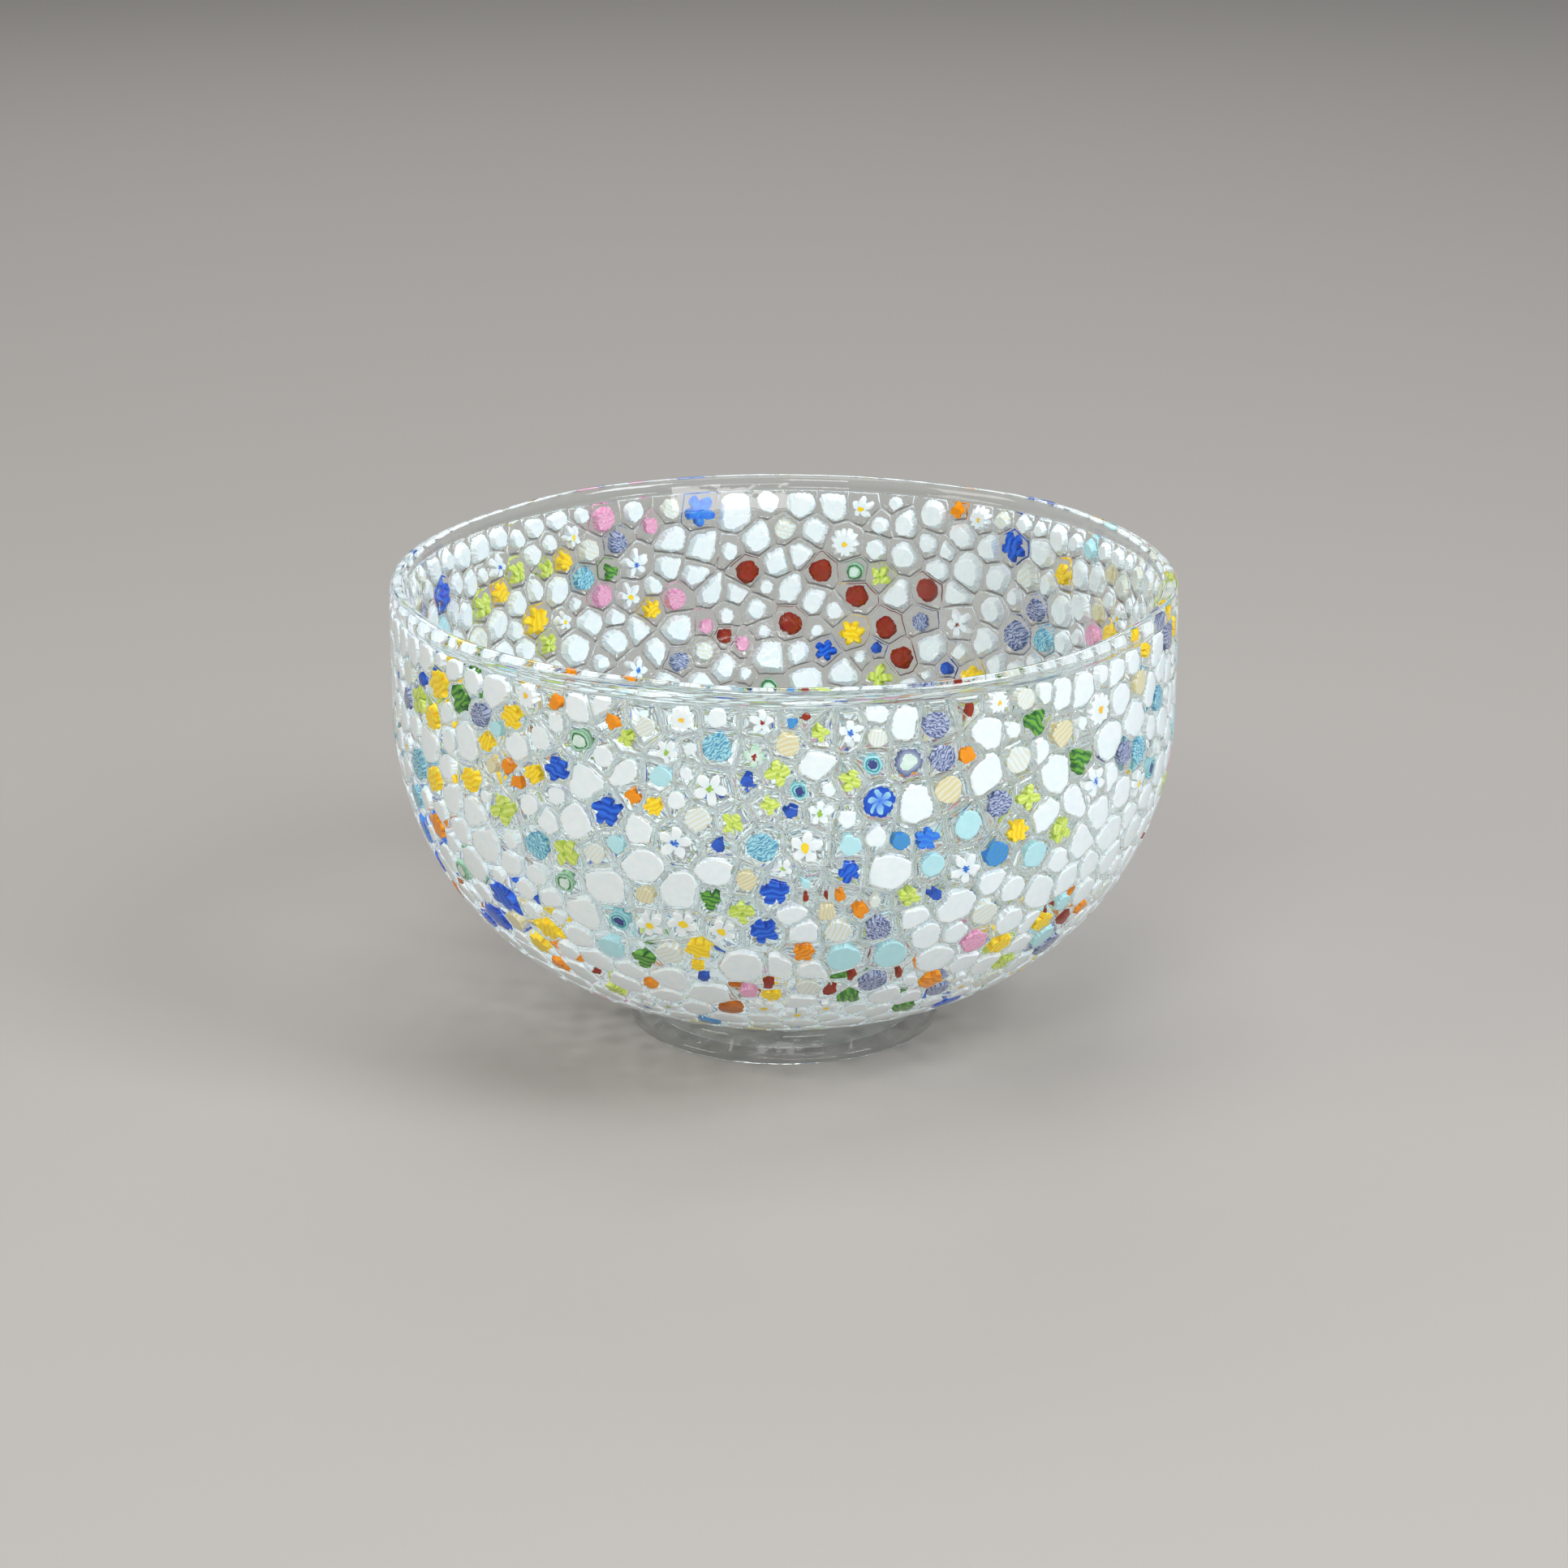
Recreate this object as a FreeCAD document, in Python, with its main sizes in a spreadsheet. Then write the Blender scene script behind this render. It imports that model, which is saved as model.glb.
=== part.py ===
"""Art glass bowl of fused cane slices.

A thin clear lining carries about a thousand cane slices, fused side by side over its whole
outside.  Each slice is a clear casing with a coloured core, and some cores have a heart of a
second colour.  A clear trail closes the rim and a clear foot carries the bowl.

Millimetres, +Z up, origin at the centre of the foot's resting face.  Azimuths are in degrees
from the front, which is -Y, and grow towards +X.
"""
import FreeCAD, Part
import Sketcher
import bisect
import math
import os
import random
from collections import namedtuple
from FreeCAD import Matrix, Placement, Vector

doc = FreeCAD.newDocument("art_glass_bowl")

# ---------------------------------------------------------------- driving sizes

SIZES = [
    ("bowl_radius", 50.0, "outer radius of the wall and rim"),
    ("bowl_height", 59.4, "resting face to the top of the rim"),
    ("base_radius", 12.0, "radius of the flat middle of the base"),
    ("base_height", 4.5, "height of that flat above the resting face"),
    ("lining_thickness", 1.6, "clear lining under the slices"),
    ("slice_thickness", 1.4, "height of a cane slice"),
    ("rim_band", 2.3, "height of the clear trail on the rim"),
    ("neck_radius", 17.0, "radius of the foot where it meets the belly"),
    ("foot_radius", 20.3, "outer radius of the foot where it rests"),
    ("foot_lip", 1.1, "height of the foot's upright edge"),
    ("flare_depth", 0.72, "how far the side above that edge curves in from a straight line"),
    ("foot_seat_gap", 0.16, "gap between the foot and the round outside, for the flat slices' corners"),
    ("hollow_radius", 15.9, "inner radius of the foot where it rests"),
    ("hollow_top_radius", 13.4, "inner radius of the foot where it meets the belly"),
    ("casing_wall", 0.36, "least clear glass round a core"),
    ("seam_gap", 0.02, "gap between neighbouring casings"),
    ("largest_slice", 2.55, "radius of the largest slice"),
    ("smallest_slice", 0.95, "radius of the smallest slice"),
]

# What follows from those: the belly is a quarter arc between the flat base and the wall.
FOLLOWING = [
    ("belly_arc", "=bowl_radius - base_radius", "radius of the round belly"),
    ("shoulder_height", "=base_height + belly_arc", "where the belly turns into the wall"),
    ("neck_height", "=shoulder_height - sqrt((belly_arc + foot_seat_gap)^2"
     " - (neck_radius - base_radius)^2)", "where the foot's side meets the belly"),
    ("flare_chord", "=sqrt((foot_radius - neck_radius)^2 + (neck_height - foot_lip)^2)",
     "straight length of the foot's side"),
    ("flare_radius", "=flare_chord^2 / (8 * flare_depth) + flare_depth / 2",
     "radius of the foot's side"),
]

sheet = doc.addObject("Spreadsheet::Sheet", "Sizes")
for row, (alias, value, meaning) in enumerate(SIZES + FOLLOWING, start=1):
    sheet.set(f"A{row}", meaning)
    sheet.set(f"B{row}", str(value))
    sheet.setAlias(f"B{row}", alias)
doc.recompute()


def size(alias):
    """The sheet's value of one driving size."""
    return float(sheet.get(alias))


# ---------------------------------------------------------------- turned glass

START, END, CENTRE = 1, 2, 3
AXIS_POINT = -1


class TurnedProfile:
    """A PartDesign body turned from one closed outline in the XZ plane."""

    def __init__(self, label):
        self.body = doc.addObject("PartDesign::Body", label)
        self.body.Label = label
        self.sketch = self.body.newObject("Sketcher::SketchObject", f"{label}_outline")
        planes = self.body.Origin.OriginFeatures
        front = [plane for plane in planes if plane.Role == "XZ_Plane"][0]
        self.sketch.AttachmentSupport = [(front, "")]
        self.sketch.MapMode = "FlatFace"

    def line(self, start, end):
        segment = Part.LineSegment(Vector(*start, 0), Vector(*end, 0))
        return self.sketch.addGeometry(segment, False)

    def arc(self, centre, radius, start_angle, end_angle):
        """A counter-clockwise arc, its angles in radians."""
        circle = Part.Circle(Vector(*centre, 0), Vector(0, 0, 1), radius)
        return self.sketch.addGeometry(Part.ArcOfCircle(circle, start_angle, end_angle), False)

    def join(self, first, first_end, second, second_end):
        self.sketch.addConstraint(
            Sketcher.Constraint("Coincident", first, first_end, second, second_end))

    def smooth(self, first, first_end, second, second_end):
        self.sketch.addConstraint(
            Sketcher.Constraint("Tangent", first, first_end, second, second_end))

    def direction(self, kind, segment):
        self.sketch.addConstraint(Sketcher.Constraint(kind, segment))

    def bind(self, kind, expression, *place):
        """A sized constraint whose value comes from the sheet."""
        value = self.sketch.evalExpression(expression)
        index = self.sketch.addConstraint(Sketcher.Constraint(kind, *place, float(value)))
        self.sketch.setExpression(f"Constraints[{index}]", expression)

    def at_radius(self, expression, geometry, end):
        self.bind("DistanceX", expression, AXIS_POINT, START, geometry, end)

    def at_height(self, expression, geometry, end):
        self.bind("DistanceY", expression, AXIS_POINT, START, geometry, end)

    def turn(self):
        doc.recompute()
        if self.sketch.solve() != 0:
            raise RuntimeError(f"{self.body.Label}: the outline does not solve")
        solid = self.body.newObject("PartDesign::Revolution", f"{self.body.Label}_turned")
        solid.Profile = self.sketch
        solid.ReferenceAxis = (self.sketch, ["V_Axis"])
        solid.Angle = 360
        self.body.Tip = solid
        self.sketch.Visibility = False
        return self.body


class BellyCurve:
    """The bowl's outline at one depth inside its outer surface: a base line, a quarter arc and
    a wall line."""

    def __init__(self, depth):
        self.wall_radius = size("bowl_radius") - depth
        self.shoulder_height = size("shoulder_height")
        self.arc_radius = size("belly_arc") - depth
        self.base_radius = size("base_radius")
        self.base_height = self.shoulder_height - self.arc_radius
        self.arc_length = self.arc_radius * math.pi / 2

    def point_at(self, length):
        """Radius, height and outward slope angle at a length out from the centre.

        The angle is that of the outward normal: -90 degrees on the base, 0 on the wall.
        """
        if length < self.base_radius:
            return length, self.base_height, -math.pi / 2
        length -= self.base_radius
        if length < self.arc_length:
            angle = -math.pi / 2 + length / self.arc_radius
            return (self.base_radius + self.arc_radius * math.cos(angle),
                    self.shoulder_height + self.arc_radius * math.sin(angle), angle)
        return self.wall_radius, self.shoulder_height + length - self.arc_length, 0.0

    def length_to(self, height):
        """Length from the centre of the base up to a height on the wall."""
        return self.base_radius + self.arc_length + height - self.shoulder_height


WALL_THICKNESS = "(Sizes.slice_thickness + Sizes.lining_thickness)"


def add_belly(profile, depth, depth_text, top):
    """Draw one side of the lining and bind it to the sheet.

    Returns the base line, whose start is on the axis, and the wall line, whose end is the top.
    """
    curve = BellyCurve(depth)
    base = profile.line((0, curve.base_height), (curve.base_radius, curve.base_height))
    belly = profile.arc((curve.base_radius, curve.shoulder_height), curve.arc_radius,
                        -math.pi / 2, 0)
    wall = profile.line((curve.wall_radius, curve.shoulder_height), (curve.wall_radius, top))
    profile.direction("Horizontal", base)
    profile.smooth(base, END, belly, START)
    profile.smooth(belly, END, wall, START)
    profile.direction("Vertical", wall)
    profile.at_radius("0 mm", base, START)
    profile.at_radius(f"(Sizes.bowl_radius - {depth_text}) * 1 mm", wall, START)
    profile.at_height("Sizes.shoulder_height * 1 mm", wall, START)
    profile.bind("Radius", f"(Sizes.belly_arc - {depth_text}) * 1 mm", belly)
    return base, wall


def clear_lining():
    """The smooth inside of the bowl, which the slices are fused to."""
    profile = TurnedProfile("clear_lining")
    top = size("bowl_height") - size("rim_band")
    outer_depth = size("slice_thickness")
    inner_depth = outer_depth + size("lining_thickness")
    outer_base, outer_wall = add_belly(profile, outer_depth, "Sizes.slice_thickness", top)
    inner_base, inner_wall = add_belly(profile, inner_depth, WALL_THICKNESS, top)
    edge = profile.line((size("bowl_radius") - outer_depth, top),
                        (size("bowl_radius") - inner_depth, top))
    axis = profile.line((0, BellyCurve(inner_depth).base_height),
                        (0, BellyCurve(outer_depth).base_height))
    profile.join(outer_wall, END, edge, START)
    profile.join(edge, END, inner_wall, END)
    profile.join(inner_base, START, axis, START)
    profile.join(axis, END, outer_base, START)
    profile.direction("Horizontal", edge)
    profile.at_height("(Sizes.bowl_height - Sizes.rim_band) * 1 mm", edge, START)
    return profile.turn()


def rim_trail():
    """The clear rounded rim, as thick as the whole wall."""
    profile = TurnedProfile("rim_trail")
    wall = size("slice_thickness") + size("lining_thickness")
    outer = size("bowl_radius")
    foot = size("bowl_height") - size("rim_band")
    spring = size("bowl_height") - wall / 2
    bottom = profile.line((outer - wall, foot), (outer, foot))
    outside = profile.line((outer, foot), (outer, spring))
    crown = profile.arc((outer - wall / 2, spring), wall / 2, 0, math.pi)
    inside = profile.line((outer - wall, spring), (outer - wall, foot))
    profile.join(bottom, END, outside, START)
    profile.smooth(outside, END, crown, START)
    profile.smooth(crown, END, inside, START)
    profile.join(inside, END, bottom, START)
    profile.direction("Horizontal", bottom)
    profile.direction("Vertical", outside)
    profile.direction("Vertical", inside)
    profile.at_radius("Sizes.bowl_radius * 1 mm", bottom, END)
    profile.at_radius(f"(Sizes.bowl_radius - {WALL_THICKNESS}) * 1 mm", bottom, START)
    profile.at_height("(Sizes.bowl_height - Sizes.rim_band) * 1 mm", bottom, END)
    profile.at_height(f"(Sizes.bowl_height - {WALL_THICKNESS} / 2) * 1 mm", outside, END)
    return profile.turn()


def clear_foot():
    """The applied clear foot: a flared ring that follows the belly above it."""
    profile = TurnedProfile("clear_foot")
    seat = BellyCurve(-size("foot_seat_gap"))

    def seat_turn(radius):
        return math.asin((radius - seat.base_radius) / seat.arc_radius)

    def seat_height(radius):
        return seat.shoulder_height - seat.arc_radius * math.cos(seat_turn(radius))

    neck, lip, rest = size("neck_radius"), size("foot_lip"), size("foot_radius")
    hollow, hollow_top = size("hollow_radius"), size("hollow_top_radius")
    neck_height, flare, chord = size("neck_height"), size("flare_radius"), size("flare_chord")
    back = flare - size("flare_depth")
    centre = ((neck + rest) / 2 + back * (neck_height - lip) / chord,
              (neck_height + lip) / 2 - back * (neck - rest) / chord)
    lip_angle = math.atan2(lip - centre[1], rest - centre[0]) % (2 * math.pi)
    neck_angle = math.atan2(neck_height - centre[1], neck - centre[0]) % (2 * math.pi)
    ground = profile.line((hollow, 0), (rest, 0))
    edge = profile.line((rest, 0), (rest, lip))
    side = profile.arc(centre, flare, neck_angle, lip_angle)
    collar = profile.arc((seat.base_radius, seat.shoulder_height), seat.arc_radius,
                         seat_turn(hollow_top) - math.pi / 2, seat_turn(neck) - math.pi / 2)
    inside = profile.line((hollow_top, seat_height(hollow_top)), (hollow, 0))
    profile.join(ground, END, edge, START)
    profile.join(edge, END, side, END)
    profile.join(side, START, collar, END)
    profile.join(collar, START, inside, START)
    profile.join(inside, END, ground, START)
    profile.direction("Horizontal", ground)
    profile.direction("Vertical", edge)
    profile.at_radius("Sizes.hollow_radius * 1 mm", ground, START)
    profile.at_height("0 mm", ground, START)
    profile.at_radius("Sizes.foot_radius * 1 mm", edge, START)
    profile.at_height("Sizes.foot_lip * 1 mm", edge, END)
    profile.at_radius("Sizes.base_radius * 1 mm", collar, CENTRE)
    profile.at_height("Sizes.shoulder_height * 1 mm", collar, CENTRE)
    profile.bind("Radius", "(Sizes.belly_arc + Sizes.foot_seat_gap) * 1 mm", collar)
    profile.at_radius("Sizes.hollow_top_radius * 1 mm", collar, START)
    profile.at_radius("Sizes.neck_radius * 1 mm", collar, END)
    profile.bind("Radius", "Sizes.flare_radius * 1 mm", side)
    return profile.turn()


# ---------------------------------------------------------------- canes

BAR, BLOCK, ROUND = -2, -1, 0
Cane = namedtuple("Cane", "lobes core heart heart_share radius")

# Every kind of cane: its section (BAR, BLOCK, ROUND or a number of petals), the node of its core,
# the node of its heart and the heart's share of the radius, and the slice's usual radius.
CANES = {
    "opal block": Cane(BLOCK, "opal_white_blocks", None, 0, 2.4),
    "opal round": Cane(ROUND, "opal_white_rounds", None, 0, 1.7),
    "daisy": Cane(9, "daisy_petals", "orange_hearts", 0.22, 2.4),
    "white blossom red": Cane(5, "white_blossom_petals", "red_brown_hearts", 0.24, 2.4),
    "white blossom blue": Cane(5, "white_blossom_petals", "blue_hearts", 0.26, 2.3),
    "white blossom yellow": Cane(5, "white_blossom_petals", "yellow_hearts", 0.26, 2.3),
    "white blossom green": Cane(5, "white_blossom_petals", "green_hearts", 0.24, 2.3),
    "yellow blossom": Cane(6, "yellow_blossom_petals", None, 0, 1.8),
    "cobalt blossom": Cane(5, "cobalt_blossom_petals", None, 0, 2.3),
    "cobalt star": Cane(ROUND, "cobalt_star_rays", "pale_star_hearts", 0.72, 2.9),
    "mid-blue blossom": Cane(5, "mid_blue_blossom_petals", None, 0, 2.3),
    "lime blossom": Cane(4, "lime_blossom_petals", "green_hearts", 0.16, 2.3),
    "pale green blossom": Cane(4, "pale_green_blossom_petals", "red_brown_hearts", 0.28, 2.7),
    "orange blossom": Cane(5, "orange_blossom_petals", None, 0, 1.9),
    "green clover": Cane(3, "dark_green_clovers", None, 0, 2.0),
    "mid-blue disc": Cane(ROUND, "mid_blue_discs", None, 0, 2.0),
    "aqua disc": Cane(ROUND, "aqua_discs", None, 0, 2.1),
    "teal disc": Cane(ROUND, "teal_discs", None, 0, 2.1),
    "navy disc": Cane(ROUND, "navy_discs", None, 0, 2.0),
    "ivory disc": Cane(ROUND, "ivory_discs", None, 0, 2.1),
    "beige disc": Cane(ROUND, "beige_discs", None, 0, 2.0),
    "pink disc": Cane(ROUND, "pink_discs", None, 0, 2.0),
    "brown disc": Cane(ROUND, "brown_discs", None, 0, 1.8),
    "dark red disc": Cane(ROUND, "dark_red_discs", None, 0, 2.0),
    "teal eye": Cane(ROUND, "teal_eye_rings", "navy_hearts", 0.4, 1.7),
    "green ring": Cane(ROUND, "dark_green_rings", "pale_green_hearts", 0.5, 1.7),
    "navy ring": Cane(ROUND, "navy_rings", "pale_green_hearts", 0.5, 2.1),
    "orange dot": Cane(4, "orange_dots", None, 0, 1.1),
    "indigo dot": Cane(ROUND, "indigo_dots", None, 0, 1.1),
    "red bar": Cane(BAR, "dark_red_bars", None, 0, 1.2),
}

# Slices with a place of their own: azimuth in degrees, height in hundredths of the bowl height.
PLACED = {
    "opal block": [(13, 94), (29, 88), (29, 79), (4, 84), (-9, 61), (-22, 81), (-26, 94), (39, 67),
                   (-15, 56), (3, 47), (19, 49), (-31, 47), (-6, 37), (4, 37), (25, 37), (42, 93),
                   (54, 93), (-48, 57), (55, 57)],
    "daisy": [(-14, 93), (-38, 93), (170, 84)],
    "white blossom red": [(-3, 93), (150, 67)],
    "white blossom blue": [(9, 91), (-15, 67), (49, 71), (205, 81)],
    "white blossom yellow": [(3, 67), (-20, 47), (-9, 47), (120, 51)],
    "white blossom green": [(-16, 86), (5, 74), (-10, 79)],
    "yellow blossom": [(-41, 88), (-46, 81), (-50, 71), (-37, 77), (-18, 74), (-13, 42), (-2, 29),
                       (-60, 81), (-60, 67), (63, 94), (-40, 40), (-45, 34), (37, 37), (45, 40)],
    "cobalt blossom": [(-33, 79), (-25, 72), (9, 61), (-3, 47), (-48, 45), (-54, 37), (140, 88)],
    "cobalt star": [(13, 76)],
    "mid-blue blossom": [(20, 67), (-70, 51)],
    "mid-blue disc": [(31, 61), (1, 93)],
    "aqua disc": [(9, 67), (3, 59), (21, 61), (26, 69), (-17, 81), (38, 59), (-28, 39)],
    "teal disc": [(-9, 88), (-3, 67), (-37, 61)],
    "navy disc": [(21, 91), (31, 72), (14, 47), (22, 84)],
    "ivory disc": [(35, 93), (34, 81), (13, 54), (8, 47), (-18, 40), (-19, 91), (31, 47)],
    "beige disc": [(-45, 76), (42, 84), (23, 77)],
    "lime blossom": [(9, 81), (-32, 61), (18, 54), (-43, 67), (-22, 88), (36, 72), (-2, 76),
                     (-7, 72), (5, 91), (-6, 52)],
    "pale green blossom": [(-4, 86)],
    "teal eye": [(2, 79), (-25, 47), (12, 84), (66, 67)],
    "green ring": [(-29, 86), (-33, 54), (-58, 47)],
    "green clover": [(37, 88), (46, 77), (-52, 88)],
    "orange dot": [(-33, 93), (-24, 91), (-21, 76), (8, 56), (11, 52), (-42, 77), (-40, 74)],
    "orange blossom": [(3, 42), (26, 30), (-62, 56)],
    "pink disc": [(-6, 30), (31, 40), (211, 74), (198, 71), (193, 64), (187, 59)],
    "red bar": [(3, 94), (26, 93), (3, 56), (6, 56), (11, 35), (19, 34), (8, 30)],
    "dark red disc": [(186, 77), (179, 64), (168, 71), (163, 64), (160, 57), (174, 77), (190, 61),
                      (156, 74)],
    "navy ring": [(17, 84)],
    "indigo dot": [(-5, 81), (-9, 67), (-13, 34), (22, 54), (-63, 88), (1, 74)],
    "brown disc": [(-10, 24)],
}

# How often each kind turns up between the placed ones, for large, middling and small slices.
COMMON = {
    "large": {"opal block": 62, "opal round": 12, "ivory disc": 6, "white blossom yellow": 3,
              "white blossom blue": 3, "yellow blossom": 2, "cobalt blossom": 1, "daisy": 2,
              "mid-blue blossom": 1, "aqua disc": 3, "teal disc": 2, "lime blossom": 3,
              "pink disc": 1, "navy disc": 2},
    "middling": {"opal block": 36, "opal round": 32, "ivory disc": 5, "white blossom green": 3,
                 "white blossom yellow": 3, "daisy": 2, "yellow blossom": 3, "aqua disc": 3,
                 "beige disc": 3, "lime blossom": 4, "teal eye": 1, "green clover": 3,
                 "navy disc": 2, "cobalt blossom": 1, "pink disc": 2, "mid-blue disc": 1,
                 "green ring": 1, "orange blossom": 1, "brown disc": 1},
    "small": {"opal round": 66, "opal block": 14, "orange dot": 5, "indigo dot": 4, "red bar": 5,
              "aqua disc": 3, "teal disc": 2, "yellow blossom": 3},
}
LARGE_FROM, MIDDLING_FROM = 1.85, 1.4

# ---------------------------------------------------------------- laying the slices out

Site = namedtuple("Site", "u v radius kind fixed")
LAYOUT_SEED = 2741
PLANE_STEPS = 1500          # steps from the centre of the base up to the rim
SEARCH_STEP = 5             # of those steps, for the place of one height
CELL_SIZE = 9.0             # plane units
TINY = 1e-6
OUTLINE_REACH = 2.2         # largest slice radii from a slice's middle to a far seam
EDGE_MARGIN = 0.1           # mm left between the slices and the rim trail
LEAST_PLACED_RADIUS = 0.6   # mm
LEAST_LOOSE_SHARE = 0.75    # of the smallest slice
FIRST_DISC_SHARE = 0.68     # of the largest slice; the rest is left to grow into
DISC_STEP = 0.86
TRIES_PER_DISC_SIZE = 5200
SETTLING_ROUNDS = 4
LEAST_CASING_SIDE = 0.08    # mm
LEAST_CORE_SIDE = 0.12      # mm
BAR_CORNER_TURN = math.atan(0.5)
NOTCH_ROOM = 1.06           # how much shallower a notch is than where two petals would touch


class SliceField:
    """The lining's outer surface laid flat without changing any angle.

    A point at length s out from the centre lies at exp(integral of ds / radius) in the plane, so
    a small circle on the glass stays a circle, and straight seams in the plane meet in the same
    corners on the glass.
    """

    def __init__(self):
        self.curve = BellyCurve(size("slice_thickness"))
        self.total = self.curve.length_to(size("bowl_height") - size("rim_band"))
        start = self.curve.base_radius / 2
        step = (self.total - start) / PLANE_STEPS
        self.lengths = [start + step * i for i in range(PLANE_STEPS + 1)]
        spread = math.log(start)
        self.spreads = [start]
        for length in self.lengths[1:]:
            middle = self.curve.point_at(length - step / 2)[0]
            spread += step / middle
            self.spreads.append(math.exp(spread))
        self.edge = self.spreads[-1]

    def length_of(self, spread):
        if spread <= self.spreads[0]:
            return spread
        i = min(bisect.bisect_right(self.spreads, spread), PLANE_STEPS) - 1
        share = (spread - self.spreads[i]) / (self.spreads[i + 1] - self.spreads[i])
        return self.lengths[i] + share * (self.lengths[i + 1] - self.lengths[i])

    def scale(self, spread):
        """Plane units per millimetre of glass."""
        radius = self.curve.point_at(self.length_of(spread))[0]
        return spread / radius if radius > TINY else 1.0

    def plane_place(self, azimuth, hundredths):
        """A slice's azimuth and height on the outside of the bowl, put in the plane."""
        height = hundredths / 100 * size("bowl_height")
        best = 0
        thickness = size("slice_thickness")
        miss = math.inf
        for i in range(0, PLANE_STEPS, SEARCH_STEP):
            _, z, angle = self.curve.point_at(self.lengths[i])
            off = abs(z + thickness * math.sin(angle) - height)
            if off < miss:
                best, miss = i, off
        turn = math.radians(azimuth)
        return self.spreads[best] * math.sin(turn), -self.spreads[best] * math.cos(turn)

    def on_glass(self, u, v):
        """The point on the lining and the outward normal there."""
        spread = math.hypot(u, v)
        radius, z, angle = self.curve.point_at(self.length_of(spread))
        if spread < TINY:
            return Vector(0, 0, z), Vector(0, 0, -1)
        away = Vector(u / spread, v / spread, 0)
        return away * radius + Vector(0, 0, z), away * math.cos(angle) + Vector(0, 0, math.sin(angle))


class Grid:
    """Neighbour search over the plane."""

    def __init__(self):
        self.cells = {}

    def key(self, u, v):
        return int(math.floor(u / CELL_SIZE)), int(math.floor(v / CELL_SIZE))

    def add(self, index, u, v):
        self.cells.setdefault(self.key(u, v), []).append(index)

    def near(self, u, v, reach=1):
        column, row = self.key(u, v)
        for i in range(column - reach, column + reach + 1):
            for j in range(row - reach, row + reach + 1):
                yield from self.cells.get((i, j), ())


def clip(corners, point, normal):
    """The part of a convex outline on the side of a line that its normal points away from."""
    kept = []
    heights = [(c[0] - point[0]) * normal[0] + (c[1] - point[1]) * normal[1] for c in corners]
    for i, here in enumerate(corners):
        j = (i + 1) % len(corners)
        there = corners[j]
        if heights[i] <= 0:
            kept.append(here)
        if (heights[i] < 0 < heights[j]) or (heights[j] < 0 < heights[i]):
            share = heights[i] / (heights[i] - heights[j])
            kept.append((here[0] + share * (there[0] - here[0]),
                         here[1] + share * (there[1] - here[1])))
    return kept


def seam_outline(field, sites, grid, index):
    """One slice's outline in the plane: the seams halfway to its neighbours' rims."""
    site = sites[index]
    scale = field.scale(math.hypot(site.u, site.v))
    reach = OUTLINE_REACH * size("largest_slice") * scale
    corners = [(site.u - reach, site.v - reach), (site.u + reach, site.v - reach),
               (site.u + reach, site.v + reach), (site.u - reach, site.v + reach)]
    for other_index in grid.near(site.u, site.v, 2):
        other = sites[other_index]
        across = (other.u - site.u, other.v - site.v)
        gap = math.hypot(*across)
        if other_index == index or gap > 3 * reach:
            continue
        share = (gap ** 2 + site.radius ** 2 - other.radius ** 2) / (2 * gap ** 2)
        corners = clip(corners, (site.u + share * across[0], site.v + share * across[1]), across)
        if len(corners) < 3:
            return corners
    spread = math.hypot(site.u, site.v)
    if spread + 2 * reach > field.edge:
        away = (site.u / spread, site.v / spread)
        lip = field.edge - EDGE_MARGIN * scale
        corners = clip(corners, (away[0] * lip, away[1] * lip), away)
    return corners


def middle_of(corners):
    """The centroid of a convex outline."""
    area = u = v = 0.0
    for (u0, v0), (u1, v1) in zip(corners, corners[1:] + corners[:1]):
        cross = u0 * v1 - u1 * v0
        area += cross
        u += (u0 + u1) * cross
        v += (v0 + v1) * cross
    return u / (3 * area), v / (3 * area)


def placed_sites(field):
    """The slices with a place of their own, shrunk where two stand close."""
    wanted = [(kind, *field.plane_place(*place)) for kind in PLACED for place in PLACED[kind]]
    sites = []
    for kind, u, v in wanted:
        scale = field.scale(math.hypot(u, v))
        room = min(math.hypot(u - u2, v - v2) for _, u2, v2 in wanted if (u2, v2) != (u, v))
        edge_room = field.edge - math.hypot(u, v) - 2 * EDGE_MARGIN * scale
        radius = min(CANES[kind].radius * scale, room / 2, edge_room)
        if radius > LEAST_PLACED_RADIUS * scale:
            sites.append(Site(u, v, radius, kind, True))
    return sites


def fill_sites(field, sites, rng):
    """Throw ever smaller discs at the plane until no more of them fit."""
    grid = Grid()
    for i, site in enumerate(sites):
        grid.add(i, site.u, site.v)
    radius = FIRST_DISC_SHARE * size("largest_slice")
    while radius >= size("smallest_slice"):
        for _ in range(TRIES_PER_DISC_SIZE):
            spread = field.spreads[-1] * math.sqrt(rng.random())
            if rng.random() < 0.5:
                spread *= rng.random()
            turn = 2 * math.pi * rng.random()
            u, v = spread * math.cos(turn), spread * math.sin(turn)
            own = radius * field.scale(spread)
            if spread + own > field.edge - EDGE_MARGIN:
                continue
            near = (sites[i] for i in grid.near(u, v))
            if all(math.hypot(u - s.u, v - s.v) >= own + s.radius for s in near):
                grid.add(len(sites), u, v)
                sites.append(Site(u, v, own, None, False))
        radius *= DISC_STEP
    return sites


def gridded(sites):
    grid = Grid()
    for i, site in enumerate(sites):
        grid.add(i, site.u, site.v)
    return grid


def relaxed(field, sites, rounds):
    """Let the loose slices settle towards the middle of the room they have."""
    for _ in range(rounds):
        grid = gridded(sites)
        moved = []
        for i, site in enumerate(sites):
            corners = seam_outline(field, sites, grid, i)
            if site.fixed or len(corners) < 3:
                moved.append(site)
                continue
            u, v = middle_of(corners)
            moved.append(site._replace(u=(site.u + u) / 2, v=(site.v + v) / 2))
        sites = grown(field, moved)
    return sites


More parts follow.
